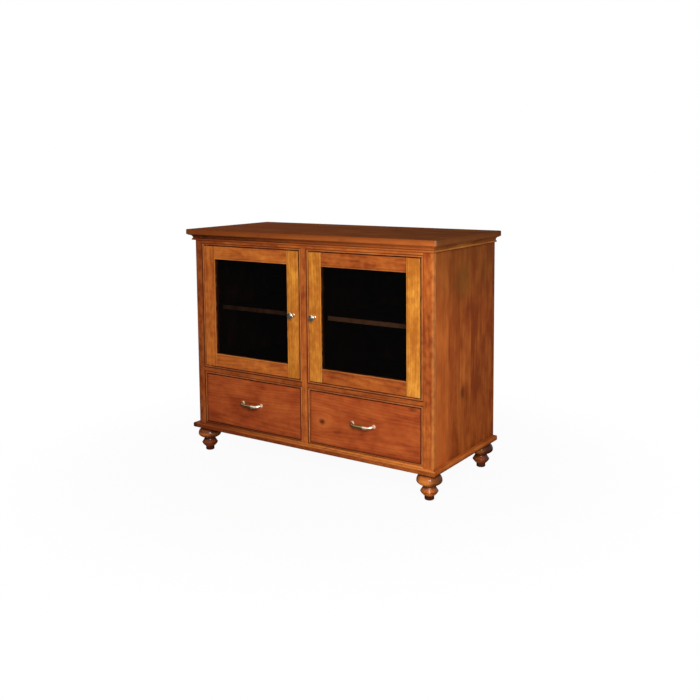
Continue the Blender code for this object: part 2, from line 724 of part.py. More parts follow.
def door_section(width):
    """Section of a door member: (distance in from the outer edge, depth behind the face)."""
    outer_middle = (DOOR_OUTER_ROUND, DOOR_OUTER_ROUND)
    outer = arc(outer_middle, (DOOR_OUTER_ROUND, DOOR_OUTER_ROUND), 180, 270, EASE_STEPS)
    inner_middle = (width - DOOR_INNER_ROUND, DOOR_INNER_ROUND)
    inner = arc(inner_middle, (DOOR_INNER_ROUND, DOOR_INNER_ROUND), 270, 360, ROUND_STEPS)
    rabbet = width - DOOR_RABBET
    back = [(width, DOOR_LIP), (rabbet, DOOR_LIP), (rabbet, DOOR_THICKNESS)]
    return [(0.0, DOOR_THICKNESS), *outer, *inner, *back]


def knob_profile():
    """(radius, height off the door) down the knob, from the middle of its face to its rose."""
    face_radius = KNOB_RADIUS - KNOB_EDGE_ROUND
    face = []
    for step in range(KNOB_STEPS):
        share = step / KNOB_STEPS
        face.append((face_radius * share, KNOB_PROJECTION - KNOB_CROWN * share**2))
    edge_z = KNOB_PROJECTION - KNOB_CROWN - KNOB_EDGE_ROUND
    edge = arc((face_radius, edge_z), (KNOB_EDGE_ROUND, KNOB_EDGE_ROUND), 90, 0, KNOB_STEPS)
    back_radii = (KNOB_RADIUS - KNOB_STEM_RADIUS, KNOB_DISC - KNOB_CROWN - KNOB_EDGE_ROUND)
    back = arc((KNOB_STEM_RADIUS, edge_z), back_radii, -18, -90, KNOB_STEPS)
    flare = KNOB_ROSE_RADIUS - KNOB_STEM_RADIUS
    rose_middle = (KNOB_ROSE_RADIUS, KNOB_ROSE_THICKNESS + flare)
    rose = arc(rose_middle, (flare, flare), 180, 270, KNOB_STEPS)
    return [*face, *edge, *back, *rose, (KNOB_ROSE_RADIUS, 0.0), (0.0, 0.0)]


def make_hinge(name, side, edge_z, up, rail, stile, axis):
    """One pivot hinge at a door's end, where edge_z is the rail's edge and up points into the rail.

    The rail's leaf carries the pin and the collar that fills the door gap; the door's leaf has the hole.
    """
    pivot_x = side * PIVOT_X
    ends_x = (pivot_x, side * (PIVOT_X - LEAF_LENGTH))
    plan = obround(ends_x, PIVOT_Y, LEAF_WIDTH / 2)
    room = obround(ends_x, PIVOT_Y, LEAF_WIDTH / 2 + SEAT_GAP)

    def levels(first, last):
        return sorted((edge_z + up * first, edge_z + up * last))

    sunk = LEAF_THICKNESS / 2
    collar_end = SEAT_GAP - DOOR_GAP
    pin_end = collar_end - LEAF_THICKNESS
    leaf = add_piece(prism_along_z(name + "_frame_leaf", [plan], levels(0, LEAF_THICKNESS)), HINGE_BRASS)
    collar = pin_mesh(name + "_collar", COLLAR_RADIUS, *levels(sunk, collar_end), pivot_x, PIVOT_Y)
    pin = pin_mesh(name + "_pin", PIN_RADIUS, *levels(sunk, pin_end), pivot_x, PIVOT_Y)
    combine(leaf, add_cutter(collar), "UNION")
    combine(leaf, add_cutter(pin), "UNION")
    span = levels(-DOOR_GAP / 2, LEAF_THICKNESS + SEAT_GAP)
    combine(rail, add_cutter(prism_along_z(name + "_rail_mortise", [room], span)))

    hole = circle((pivot_x, PIVOT_Y), PIN_RADIUS + SEAT_GAP, PIN_STEPS)
    span = levels(-DOOR_GAP - LEAF_THICKNESS, -DOOR_GAP)
    add_piece(prism_along_z(name + "_door_leaf", [plan, hole], span), HINGE_BRASS, axis)
    span = levels(-DOOR_GAP - LEAF_THICKNESS - SEAT_GAP, -DOOR_GAP / 2)
    combine(stile, add_cutter(prism_along_z(name + "_door_mortise", [room], span), axis))


def make_door(word, side, carriers):
    """A frame of two stiles and two rails, with the glass in its rabbet, a glass stop and a knob."""
    name = "door_" + word
    low_z = DOOR_LOW_Z + DOOR_GAP
    high_z = DOOR_HIGH_Z - DOOR_GAP
    outer_x = OPENING_OUTER_X - DOOR_GAP
    inner_x = OPENING_INNER_X + DOOR_GAP
    axis = add_axis("door_axis_" + word, (side * PIVOT_X, PIVOT_Y, (low_z + high_z) / 2))

    stiles = {}
    for edge, start_x, inward in (("hinge", outer_x, -1), ("knob", inner_x, 1)):
        section = door_section(DOOR_STILE_WIDTH)
        section = [(side * (start_x + inward * across), FRONT_Y + depth) for across, depth in section]
        stile = prism_along_z(name + "_" + edge + "_stile", [section], (low_z, high_z))
        stiles[edge] = add_piece(stile, DOOR_WOOD, axis)

    # The rails' shoulders meet the stiles' edges, and behind the lip they run on to the rabbets.
    light_x = on_side(side, inner_x + DOOR_STILE_WIDTH, outer_x - DOOR_STILE_WIDTH)
    light_z = (low_z + DOOR_RAIL_WIDTH, high_z - DOOR_RAIL_WIDTH)
    rabbet_x = (light_x[0] - DOOR_RABBET, light_x[1] + DOOR_RABBET)
    rabbet_z = (light_z[0] - DOOR_RABBET, light_z[1] + DOOR_RABBET)
    lip_y = FRONT_Y + DOOR_LIP + SEAT_GAP
    for level, start_z, inward in (("top", high_z, -1), ("bottom", low_z, 1)):
        section = door_section(DOOR_RAIL_WIDTH)
        section = [(FRONT_Y + depth, start_z + inward * across) for across, depth in section]
        span = (rabbet_x[0] + SEAT_GAP, rabbet_x[1] - SEAT_GAP)
        rail = add_piece(prism_along_x(name + "_" + level + "_rail", [section], span), DOOR_WOOD, axis)
        for end, edge_x, beyond in (("left", light_x[0], -1), ("right", light_x[1], 1)):
            ends = sorted((edge_x - beyond * SEAT_GAP, edge_x + beyond * (DOOR_RABBET + CUT_MARGIN)))
            low = (ends[0], FRONT_Y - CUT_MARGIN, low_z - CUT_MARGIN)
            high = (ends[1], lip_y, high_z + CUT_MARGIN)
            combine(rail, add_cutter(box_mesh(rail.name + "_shoulder_" + end, low, high), axis))

    low = (rabbet_x[0] + GLASS_GAP, lip_y, rabbet_z[0] + GLASS_GAP)
    high = (rabbet_x[1] - GLASS_GAP, lip_y + GLASS_THICKNESS, rabbet_z[1] - GLASS_GAP)
    add_piece(box_mesh(name + "_glass", low, high), GLASS, axis)

    low = (rabbet_x[0] + SEAT_GAP, rabbet_z[0] + SEAT_GAP)
    high = (rabbet_x[1] - SEAT_GAP, rabbet_z[1] - SEAT_GAP)
    light = rectangle((light_x[0], light_z[0]), (light_x[1], light_z[1]))
    span = (lip_y + GLASS_THICKNESS + SEAT_GAP, FRONT_Y + DOOR_THICKNESS)
    stop = prism_along_y(name + "_glass_stop", [rectangle(low, high), light], span)
    add_piece(stop, DOOR_WOOD, axis)

    seat = (side * (inner_x + KNOB_INSET), FRONT_Y - SEAT_GAP, (low_z + high_z) / 2)
    place = Matrix.Translation(seat) @ Matrix.Rotation(math.pi / 2, 4, "X")
    turned_piece("knob_" + word, knob_profile(), NICKEL, place, axis)

    for level, edge_z, up, carrier in (("top", DOOR_HIGH_Z, 1, "top"), ("bottom", DOOR_LOW_Z, -1, word)):
        hinge_name = "hinge_" + level + "_" + word
        make_hinge(hinge_name, side, edge_z, up, carriers[carrier], stiles["hinge"], axis)


# Drawers


def dovetails(low_z, high_z, root_y, start_y, end_y, growth):
    """Outlines of the tails on a drawer side's end, in (y, z), grown by a clearance.

    A tail is DOVETAIL_ROOT_WIDTH wide at root_y and widens evenly towards its tip.
    """
    pitch = (high_z - low_z) / DOVETAIL_COUNT

    def half_width(y):
        return DOVETAIL_ROOT_WIDTH / 2 + DOVETAIL_FLARE * (root_y - y) / DOVETAIL_LENGTH + growth

    outlines = []
    for index in range(DOVETAIL_COUNT):
        middle = low_z + pitch * (index + 0.5)
        start = half_width(start_y)
        end = half_width(end_y)
        lower = [(start_y, middle - start), (end_y, middle - end)]
        upper = [(end_y, middle + end), (start_y, middle + start)]
        outlines.append(lower + upper)
    return outlines


def pull_mesh(name, middle):
    """A bowed bar on half a superellipse off the drawer front, thick in the middle and at its feet.

    The feet stand square off the front, and beyond them the bar droops in step with its reach.
    """
    curve = bpy.data.curves.new(name, "CURVE")
    curve.dimensions = "3D"
    curve.bevel_depth = 1.0
    curve.bevel_resolution = 2
    curve.use_fill_caps = True
    spline = curve.splines.new("POLY")
    spline.points.add(PULL_POINTS - 1)
    power = 2 / PULL_SQUARENESS
    last = PULL_POINTS - 1
    for index, point in enumerate(spline.points):
        angle = math.pi * min(max(index, 1), last - 1) / last
        across = math.copysign(abs(math.cos(angle)) ** power, math.cos(angle)) * PULL_SPACING / 2
        out = math.sin(angle) ** power * PULL_PROJECTION if 0 < index < last else 0.0
        past_foot = max(0.0, out - PULL_FOOT_LENGTH) / (PULL_PROJECTION - PULL_FOOT_LENGTH)
        point.co = (middle.x - across, middle.y - out, middle.z - PULL_DROOP * past_foot, 1.0)
        swell = (PULL_MIDDLE_RADIUS - PULL_NECK_RADIUS) * math.sin(angle) ** 3
        foot = (PULL_FOOT_RADIUS - PULL_NECK_RADIUS) * max(0.0, 1 - out / PULL_FOOT_LENGTH)
        point.radius = PULL_NECK_RADIUS + swell + foot
    mesh = mesh_from_curve(curve)
    mesh.shade_smooth()
    mesh.set_sharp_from_angle(angle=PULL_SHARP_ANGLE)
    return mesh


def make_drawer(word, side):
    """A front, dovetailed onto a box of two sides and a back, with a bottom in its grooves and a pull."""
    name = "drawer_" + word
    front_x = on_side(side, OPENING_INNER_X + DRAWER_GAP, OPENING_OUTER_X - DRAWER_GAP)
    back_of_front = FRONT_Y + DRAWER_FRONT_THICKNESS
    middle = Vector(((front_x[0] + front_x[1]) / 2, FRONT_Y, (DRAWER_LOW_Z + DRAWER_HIGH_Z) / 2))
    axis = add_axis("drawer_axis_" + word, middle)

    low = (front_x[0], FRONT_Y, DRAWER_LOW_Z + DRAWER_GAP)
    high = (front_x[1], back_of_front, DRAWER_HIGH_Z - DRAWER_GAP)
    front = add_piece(box_mesh(name + "_front", low, high), DRAWER_WOOD, axis)
    ease_edges(front, DRAWER_EDGE_ROUND)

    box_x = on_side(side, OPENING_INNER_X + DRAWER_BOX_CLEARANCE, OPENING_OUTER_X - DRAWER_BOX_CLEARANCE)
    inside_x = (box_x[0] + DRAWER_SIDE_THICKNESS, box_x[1] - DRAWER_SIDE_THICKNESS)
    box_z = (RUNNER_TOP_Z + SEAT_GAP, RUNNER_TOP_Z + SEAT_GAP + DRAWER_BOX_HEIGHT)
    tail_y = back_of_front - DOVETAIL_LENGTH
    box_back_y = FRONT_Y + DRAWER_BOX_DEPTH
    back_inside_y = box_back_y - DRAWER_SIDE_THICKNESS
    plan = rectangle((box_x[0], tail_y), (box_x[1], box_back_y))
    plan[1:1] = [
        (inside_x[0], tail_y),
        (inside_x[0], back_inside_y),
        (inside_x[1], back_inside_y),
        (inside_x[1], tail_y),
    ]
    box = add_piece(prism_along_z(name + "_box", [plan], box_z), BOX_WOOD, axis)

    # A comb takes the waste between the tails out of both sides' ends; the sockets go into the front.
    root_y = back_of_front + SEAT_GAP
    tip_y = tail_y - CUT_MARGIN / 2
    spine_y = tail_y - CUT_MARGIN
    comb_z = (box_z[0] - CUT_MARGIN, box_z[1] + CUT_MARGIN)
    comb = [(root_y, comb_z[0]), (spine_y, comb_z[0]), (spine_y, comb_z[1]), (root_y, comb_z[1])]
    for tail in reversed(dovetails(*box_z, root_y, root_y, tip_y, 0.0)):
        comb += reversed(tail)
    span = (box_x[0] - CUT_MARGIN, box_x[1] + CUT_MARGIN)
    combine(box, add_cutter(prism_along_x(name + "_tail_waste", [comb], span), axis))
    sockets = dovetails(*box_z, root_y, root_y + CUT_MARGIN, tail_y - SEAT_GAP, SEAT_GAP)
    for end, ends_x in (("left", (box_x[0], inside_x[0])), ("right", (inside_x[1], box_x[1]))):
        span = (ends_x[0] - SEAT_GAP, ends_x[1] + SEAT_GAP)
        combine(front, add_cutter(prism_along_x(name + "_sockets_" + end, sockets, span), axis))

    # The bottom slides in grooves in the sides and the front, under the back.
    groove_z = box_z[0] + DRAWER_GROOVE_HEIGHT
    bottom_top_z = groove_z + DRAWER_BOTTOM_THICKNESS
    low = (inside_x[0] - DRAWER_GROOVE_DEPTH, back_of_front - DRAWER_GROOVE_DEPTH, groove_z)
    high = (inside_x[1] + DRAWER_GROOVE_DEPTH, box_back_y, bottom_top_z)
    add_piece(box_mesh(name + "_bottom", low, high), BOX_WOOD, axis)
    groove = add_cutter(box_mesh(name + "_groove", low, high, SEAT_GAP), axis)
    combine(box, groove)
    combine(front, groove)
    low = (inside_x[0], back_inside_y - CUT_MARGIN, box_z[0] - CUT_MARGIN)
    high = (inside_x[1], box_back_y + CUT_MARGIN, bottom_top_z + SEAT_GAP)
    combine(box, add_cutter(box_mesh(name + "_under_back", low, high), axis))

    seat = middle + Vector((0.0, -SEAT_GAP, PULL_RISE))
    add_piece(pull_mesh("pull_" + word, seat), PULL_METAL, axis)


def make_runners():
    """Two wooden runners under each drawer: a ledge that carries its side and a guide beside it."""
    low_z = FLOOR_TOP_Z + SEAT_GAP
    guide_z = RUNNER_TOP_Z + RUNNER_GUIDE_HEIGHT
    inner_wall = BOARD_THICKNESS / 2 + SEAT_GAP
    outer_wall = SIDE_INSIDE_X - SEAT_GAP
    places = {
        "inner": (inner_wall, OPENING_INNER_X + DRAWER_BOX_CLEARANCE, 1),
        "outer": (outer_wall, OPENING_OUTER_X - DRAWER_BOX_CLEARANCE, -1),
    }
    for word, side in SIDES:
        for place, (wall_x, drawer_x, inward) in places.items():
            ledge_x = drawer_x + inward * (DRAWER_SIDE_THICKNESS + RUNNER_LEDGE)
            guide_x = drawer_x - inward * RUNNER_GUIDE_CLEARANCE
            outline = [(wall_x, low_z), (ledge_x, low_z), (ledge_x, RUNNER_TOP_Z), (guide_x, RUNNER_TOP_Z)]
            outline += [(guide_x, guide_z), (wall_x, guide_z)]
            outline = [(side * x, z) for x, z in outline]
            name = "runner_" + word + "_" + place
            add_piece(prism_along_y(name, [outline], (CARCASS_FRONT_Y, INSIDE_BACK_Y)), BOX_WOOD)


# Putting it together

hinge_carriers = make_face_frame()
make_carcass()
make_top()
make_moulding("crown", crown_profile(), CARCASS_TOP_Z - CROWN_HEIGHT)
make_moulding("base", base_profile(), FOOT_HEIGHT)
make_feet()
make_runners()
for side_word, side_sign in SIDES:
    make_door(side_word, side_sign, hinge_carriers)
    make_drawer(side_word, side_sign)
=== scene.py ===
"""Looks of a cherry media cabinet: lacquered boards with their own grain, smoked panes, nickel handles.

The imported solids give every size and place. Metres, +Z up, the front faces -Y. Boards keep their solids
and get their finish; the turned, moulded and bowed pieces are worked out again here as smooth surfaces.
"""

import math

import bpy
import numpy as np
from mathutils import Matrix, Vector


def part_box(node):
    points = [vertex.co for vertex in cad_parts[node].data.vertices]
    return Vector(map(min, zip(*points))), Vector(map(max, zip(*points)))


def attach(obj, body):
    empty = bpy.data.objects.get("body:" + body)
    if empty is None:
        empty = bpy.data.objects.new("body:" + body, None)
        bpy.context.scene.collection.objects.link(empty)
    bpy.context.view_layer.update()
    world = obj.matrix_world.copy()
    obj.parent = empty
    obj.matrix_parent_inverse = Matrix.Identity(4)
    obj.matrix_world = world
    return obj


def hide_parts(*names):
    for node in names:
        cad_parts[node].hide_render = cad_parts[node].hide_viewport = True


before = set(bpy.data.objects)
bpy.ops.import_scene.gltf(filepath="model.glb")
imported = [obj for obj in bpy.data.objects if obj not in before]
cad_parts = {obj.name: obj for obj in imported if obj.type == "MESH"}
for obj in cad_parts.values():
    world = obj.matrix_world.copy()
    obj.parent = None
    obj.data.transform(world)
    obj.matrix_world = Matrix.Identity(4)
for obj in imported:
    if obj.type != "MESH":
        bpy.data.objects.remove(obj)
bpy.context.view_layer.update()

SIDES = (("left", -1), ("right", 1))


# Shader maths


class Value:
    """An output socket. Arithmetic on it adds Math nodes to its tree."""

    def __init__(self, nodes, socket):
        self.nodes = nodes
        self.socket = socket

    def math(self, operation, first, second=0.0):
        return self.nodes.add("Math", {"operation": operation}, {0: first, 1: second})

    def __add__(self, other):
        return self.math("ADD", self, other)

    def __radd__(self, other):
        return self.math("ADD", other, self)

    def __sub__(self, other):
        return self.math("SUBTRACT", self, other)

    def __rsub__(self, other):
        return self.math("SUBTRACT", other, self)

    def __mul__(self, other):
        return self.math("MULTIPLY", self, other)

    def __rmul__(self, other):
        return self.math("MULTIPLY", other, self)

    def __truediv__(self, other):
        return self.math("DIVIDE", self, other)

    def fraction(self):
        return self.math("FRACT", self)

    def whole(self):
        return self.math("FLOOR", self)

    def root(self):
        return self.math("SQRT", self)

    def most(self, other):
        return self.math("MAXIMUM", self, other)

    def size(self):
        return self.math("ABSOLUTE", self)

    def rise(self, low, high):
        """0 below low and 1 above high, with a smooth step between them; falls where low is the larger."""
        settings = {"interpolation_type": "SMOOTHSTEP"}
        return self.nodes.add("MapRange", settings, {"Value": self, "From Min": low, "From Max": high})


class Nodes:
    """A node tree, and one way to add any node to it."""

    def __init__(self, tree):
        self.tree = tree

    def add(self, kind, settings, sockets, output=0):
        """A node of a type: its settings first, then what its sockets hold. Gives one of its outputs."""
        node = self.tree.nodes.new("ShaderNode" + kind)
        for name, setting in settings.items():
            if name == "stops":
                self.set_stops(node.color_ramp, setting)
            else:
                setattr(node, name, setting)
        for key, content in sockets.items():
            self.feed(node.inputs[key], content)
        return Value(self, node.outputs[output])

    def set_stops(self, ramp, stops):
        while len(ramp.elements) < len(stops):
            ramp.elements.new(1.0)
        for element, (position, colour) in zip(ramp.elements, stops):
            element.position = position
            element.color = (*colour, 1.0)

    def feed(self, socket, content):
        if isinstance(content, Value):
            self.tree.links.new(content.socket, socket)
        elif socket.type == "RGBA":
            socket.default_value = (*content, 1.0)
        else:
            socket.default_value = content

    def place(self):
        """Object coordinates, which are places in the cabinet's frame, as x, y and z."""
        spot = self.add("TexCoord", {}, {}, "Object")
        return [self.add("SeparateXYZ", {}, {0: spot}, output) for output in range(3)]

    def vector(self, x, y, z):
        return self.add("CombineXYZ", {}, {0: x, 1: y, 2: z})

    def stretched(self, vector, scales):
        return self.add("VectorMath", {"operation": "MULTIPLY"}, {0: vector, 1: scales})

    def noise(self, vector, cells, detail, roughness=0.5):
        """Noise with a number of cells in a metre in each direction, about 0 to 1."""
        sockets = {"Vector": self.stretched(vector, cells), "Scale": 1.0}
        sockets.update({"Detail": detail, "Roughness": roughness})
        return self.add("TexNoise", {}, sockets)

    def blend(self, share, first, second):
        """Mixes two colours."""
        return self.add("Mix", {"data_type": "RGBA"}, {0: share, 6: first, 7: second}, 2)


class Finish(Nodes):
    """A material with a Principled shader."""

    def __init__(self, name):
        self.material = bpy.data.materials.new(name)
        self.material.use_nodes = True
        super().__init__(self.material.node_tree)
        self.shader = self.tree.nodes["Principled BSDF"]

    def shade(self, **contents):
        """Fills the shader's sockets; a name's underscores stand for spaces."""
        for name, content in contents.items():
            self.feed(self.shader.inputs[name.replace("_", " ")], content)
        return self.material

    def bump(self, height, depth):
        return self.add("Bump", {}, {"Strength": 1.0, "Distance": depth, "Height": height})


# Wood


# Each stain at its darkest, as it mostly is and at its lightest, and the tones where these lie
STAINS = {
    "honey": ((0.38, 0.115, 0.015), (0.55, 0.200, 0.025), (0.70, 0.300, 0.042)),
    "amber": ((0.30, 0.068, 0.013), (0.46, 0.124, 0.021), (0.60, 0.190, 0.032)),
    "russet": ((0.21, 0.040, 0.009), (0.36, 0.087, 0.016), (0.50, 0.140, 0.025)),
    "chestnut": ((0.20, 0.031, 0.008), (0.335, 0.065, 0.015), (0.45, 0.105, 0.023)),
    "umber": ((0.15, 0.028, 0.007), (0.275, 0.062, 0.013), (0.40, 0.105, 0.020)),
    "tawny": ((0.15, 0.040, 0.009), (0.275, 0.080, 0.016), (0.40, 0.140, 0.026)),
    # The insides' stain is painted shade: the cabinet's inside, as dark as it lies in shade
    "shadow": ((0.020, 0.010, 0.006), (0.036, 0.017, 0.010), (0.060, 0.028, 0.016)),
    "maple": ((0.46, 0.31, 0.17), (0.60, 0.43, 0.26), (0.70, 0.53, 0.34)),
}
STAIN_TONES = (0.12, 0.5, 0.88)
FLECK_COLOUR = (0.060, 0.014, 0.005)
KNOT_COLOUR = (0.095, 0.018, 0.005)
BLUSH_COLOUR = (0.33, 0.050, 0.013)
# Painted shade in quirks, coves, gaps, under parts and on shaded flanks; also the colour of real dark smudges
SHADE_AND_SMUDGE_COLOUR = (0.050, 0.012, 0.005)
# Painted highlights: on bead crests, and on rounded corners, pane edges, end beads and the feet's buns
CREST_HIGHLIGHT_COLOUR = (0.58, 0.22, 0.085)
PAINTED_HIGHLIGHT_COLOUR = (0.58, 0.235, 0.050)

# Noise cells in a metre across, into and along a board
SWAY_CELLS = (7, 7, 1.6)
WANDER_CELLS = (2.2, 2.2, 1.0)
STREAK_CELLS = (75, 75, 2.4)
CLOUD_CELLS = (15, 15, 7)
FIBRE_CELLS = (520, 520, 11)
FLECK_CELLS = (950, 950, 42)
BLUSH_CELLS = (26, 26, 9)

# How far apart in the trunk the boards of a panel may come from
PANEL_SPREAD_ACROSS = 7.0
PANEL_SPREAD_ALONG = 3.0

# How far the boards of a panel, clouds, fibres and late wood move the tone, and how much a fleck covers
PANEL_STRENGTH = 0.34
CLOUD_STRENGTH = 1.15
FIBRE_STRENGTH = 0.40
LATE_STRENGTH = 0.15
FLECK_SHARE = 0.30

# Growth rings: ranges to draw the trunk from, and how far sway and wander move the rings
TRUNK_SHIFT = (-20, 20)
PITH_ASIDE = (-0.06, 0.06)
PITH_BEHIND = (0.035, 0.08)
TRUNK_TAPER = (0.02, 0.05)
RING_WIDTH = (0.0075, 0.0105)
SWAY_REACH = 0.05
WANDER_REACH = 0.06

# How far from an upright edge lacquer lies fully thick, and how far at all
LACQUER_FULL = 0.0050
LACQUER_REACH = 0.0085

# Gloss of the wood and of the lacquer over it, and the grain's depth
WOOD_ROUGHNESS = 0.40
COAT_ROUGHNESS = 0.16
GRAIN_DEPTH = 0.00012

# A board's look, where it isn't given otherwise
PLAIN_LOOK = {
    "tone": 0.5,
    "board": 0.0,
    "knot": None,
    "coat": 0.2,
    "marks": (),
    "fades": {},
    "figure": 0.35,
    "streaks": 0.95,
    "redness": 0.28,
    "ripples": (10, 10, 42),
    "smudges": (),
    "corners": (),
}


def between(first, last, share):
    """What lies a share of the way from first to last."""
    return first + share * (last - first)


class BoardFinish(Finish):
    """A board's material, with places along its grain, across its face and into it from its middle."""

    def __init__(self, name, axes, low, high, seed):
        super().__init__(name)
        self.draw = np.random.default_rng(seed)
        self.axes = axes
        self.spot = dict(zip("xyz", self.place()))
        self.middle = {axis: (low[i] + high[i]) / 2 for i, axis in enumerate("xyz")}
        self.extent = {axis: high[i] - low[i] for i, axis in enumerate("xyz")}
        self.along, self.across, self.deep = (self.spot[axis] - self.middle[axis] for axis in axes)
        self.shift = self.draw.uniform(*TRUNK_SHIFT, 3)
        self.share_along = self.along / self.extent[axes[0]] + 0.5

    def glue_up(self, width):
        """Makes a panel of boards of a width, each from another part of the trunk. Gives their tones."""
        number = (self.across / width + self.draw.uniform(0, 1)).whole()
        pick = self.add("TexWhiteNoise", {"noise_dimensions": "1D"}, {"W": number + self.shift[0]})
        self.across = self.across + pick * PANEL_SPREAD_ACROSS
        self.along = self.along + pick * PANEL_SPREAD_ALONG
        return (pick - 0.5) * PANEL_STRENGTH

    def bend_round(self, knot_along, knot_across, radius):
        """Draws the grain in round a knot, and gives the distance from it, a little drawn out along."""
        from_along = self.along - (knot_along - self.middle[self.axes[0]])
        from_across = self.across - (knot_across - self.middle[self.axes[1]])
        away = (from_along * from_along * 0.6 + from_across * from_across).root()
        squeeze = away.rise(radius * 6, radius * 0.6)
        self.across = self.across - from_across * squeeze * 0.75
        return away

    def grain(self):
        """Places in the trunk: across, into and along it."""
        across, deep, along = self.shift
        return self.vector(self.across + across, self.deep + deep, self.along + along)

    def late_wood(self, grain):
        """Growth rings are shells round a pith behind the face; the trunk's taper turns them to arches.

        Each ring rises slowly from its early wood to its late wood, and ends sharply.
        """
        sway = self.noise(grain, SWAY_CELLS, 2)
        wander = self.noise(grain, WANDER_CELLS, 1)
        pith_aside = self.draw.uniform(*PITH_ASIDE)
        pith_behind = self.draw.uniform(*PITH_BEHIND)
        aside = self.across - pith_aside + (sway - 0.5) * SWAY_REACH
        behind = self.deep + pith_behind + (wander - 0.5) * WANDER_REACH
        radius = (aside * aside + behind * behind).root()
        taper = self.draw.uniform(*TRUNK_TAPER) * self.draw.choice((-1, 1))
        ring = ((radius + self.along * taper) / self.draw.uniform(*RING_WIDTH)).fraction()
        return ring.rise(0.35, 0.96) * ring.rise(1.0, 0.97)

    def knotted(self, colour, light, away, radius):
        """A knot's dark core in a halo of light wood."""
        colour = self.blend(away.rise(radius * 4.5, radius * 1.5) * 0.45, colour, light)
        return self.blend(away.rise(radius * 1.6, radius * 0.3) * 0.95, colour, KNOT_COLOUR)

    def smudged(self, colour, ripple, smudge):
        """A soft oval of another shade, broken up by the ripple."""
        place_along, place_across, length, width, shade, share = smudge
        off_along = (self.spot[self.axes[0]] - place_along) / length
        off_across = (self.spot[self.axes[1]] - place_across) / width
        oval = (off_along * off_along + off_across * off_across).root().rise(1.0, 0.2)
        return self.blend(oval * (ripple + 0.5) * share, colour, shade)

    def marked(self, colour, ripple, line):
        """A line across the board, made uneven by the ripple."""
        axis, place, full, reach, shade, (first, last) = line
        share = (self.spot[axis] - place).size().rise(reach, full) * between(first, last, self.share_along)
        return self.blend(share * (ripple * 1.6 + 0.2), colour, shade)


def mark(axis, place, full, reach, shade=SHADE_AND_SMUDGE_COLOUR, shares=(0.8, 0.8)):
    """A line across a board at a place on an axis: full strength within full of it, none beyond reach.

    shares are its strengths at the low and the high end of the grain.
    """
    return (axis, place, full, reach, shade, shares)


def wood(name, stain, axes, low, high, seed, **given):
    """A flat-sawn board's finish.

    axes names the directions along the grain, across the face and into the board. Over the growth rings
    lie soft streaks, a cloudy stain with a red blush, cross-grain ripple, fine fibres and dark flecks.
    A look may give: tone, from 0, the stain at its darkest, to 1; board, the width of the boards of a
    glued-up panel; knot, (place along, place across, radius); coat, the lacquer; marks, lines of another
    colour, mostly painted shade and painted highlights; fades, by axis how much lighter the tone gets from
    the low end to the high one; figure, streaks and redness, the strengths of the ripple, the streaks and
    the blush; ripples, the ripple's cells; smudges, each (place along, place across, length, width, shade,
    share); and corners, (x, y) places of upright edges where lacquer lies thick.
    """
    look = PLAIN_LOOK | given
    board = BoardFinish(name, axes, low, high, seed)
    tone = look["tone"]
    if look["board"]:
        tone = tone + board.glue_up(look["board"])
    if look["knot"]:
        from_knot = board.bend_round(*look["knot"])
    grain = board.grain()
    late = board.late_wood(grain)
    streak = board.noise(grain, STREAK_CELLS, 4, 0.62)
    cloud = board.noise(grain, CLOUD_CELLS, 3, 0.55)
    ripple = board.noise(grain, look["ripples"], 2)
    fibre = board.noise(grain, FIBRE_CELLS, 2, 0.6)
    fleck = board.noise(grain, FLECK_CELLS, 1).rise(0.64, 0.76)
    blush = board.noise(grain, BLUSH_CELLS, 2).rise(0.50, 0.78)

    tone = tone + (cloud - 0.5) * CLOUD_STRENGTH + (fibre - 0.5) * FIBRE_STRENGTH - late * LATE_STRENGTH
    tone = tone + (streak - 0.5) * look["streaks"] + (ripple - 0.5) * look["figure"]
    for axis, fade in look["fades"].items():
        tone = tone + (board.spot[axis] - board.middle[axis]) * (fade / board.extent[axis])
    colour = board.add("ValToRGB", {"stops": list(zip(STAIN_TONES, STAINS[stain]))}, {0: tone})
    colour = board.blend(blush * look["redness"], colour, BLUSH_COLOUR)
    colour = board.blend(fleck * FLECK_SHARE, colour, FLECK_COLOUR)
    if look["knot"]:
        colour = board.knotted(colour, STAINS[stain][2], from_knot, look["knot"][2])
    for smudge in look["smudges"]:
        colour = board.smudged(colour, ripple, smudge)
    for line in look["marks"]:
        colour = board.marked(colour, ripple, line)

    coat = look["coat"]
    for corner_x, corner_y in look["corners"]:
        off_x = board.spot["x"] - corner_x
        off_y = board.spot["y"] - corner_y
        coat = coat + (off_x * off_x + off_y * off_y).root().rise(LACQUER_REACH, LACQUER_FULL)
    height = fibre * 0.6 - fleck * 0.7 - late * 0.25
    return board.shade(
        Base_Color=colour,
        Roughness=WOOD_ROUGHNESS + (fibre - 0.5) * 0.12,
        Specular_IOR_Level=0.0,
        Coat_Weight=coat,
        Coat_Roughness=COAT_ROUGHNESS,
        Normal=board.bump(height, GRAIN_DEPTH),
    )


# Metal and glass


# Noise cells in a metre, and the depth of turning marks
RUB_CELLS = (60, 60, 60)
TURNING_CELLS = (900, 900, 900)
TURNING_DEPTH = 0.00003
HAZE_CELLS = (5, 5, 5)

# Painted highlights on a bowed pull: at its feet, by distance off its seat, and on a stretch right of its
# middle
PULL_HIGHLIGHT_COLOUR = (0.95, 0.82, 0.60)
PULL_HIGHLIGHT_FEET = (0.011, 0.006)
PULL_HIGHLIGHT_STRETCH = (0.006, 0.016)


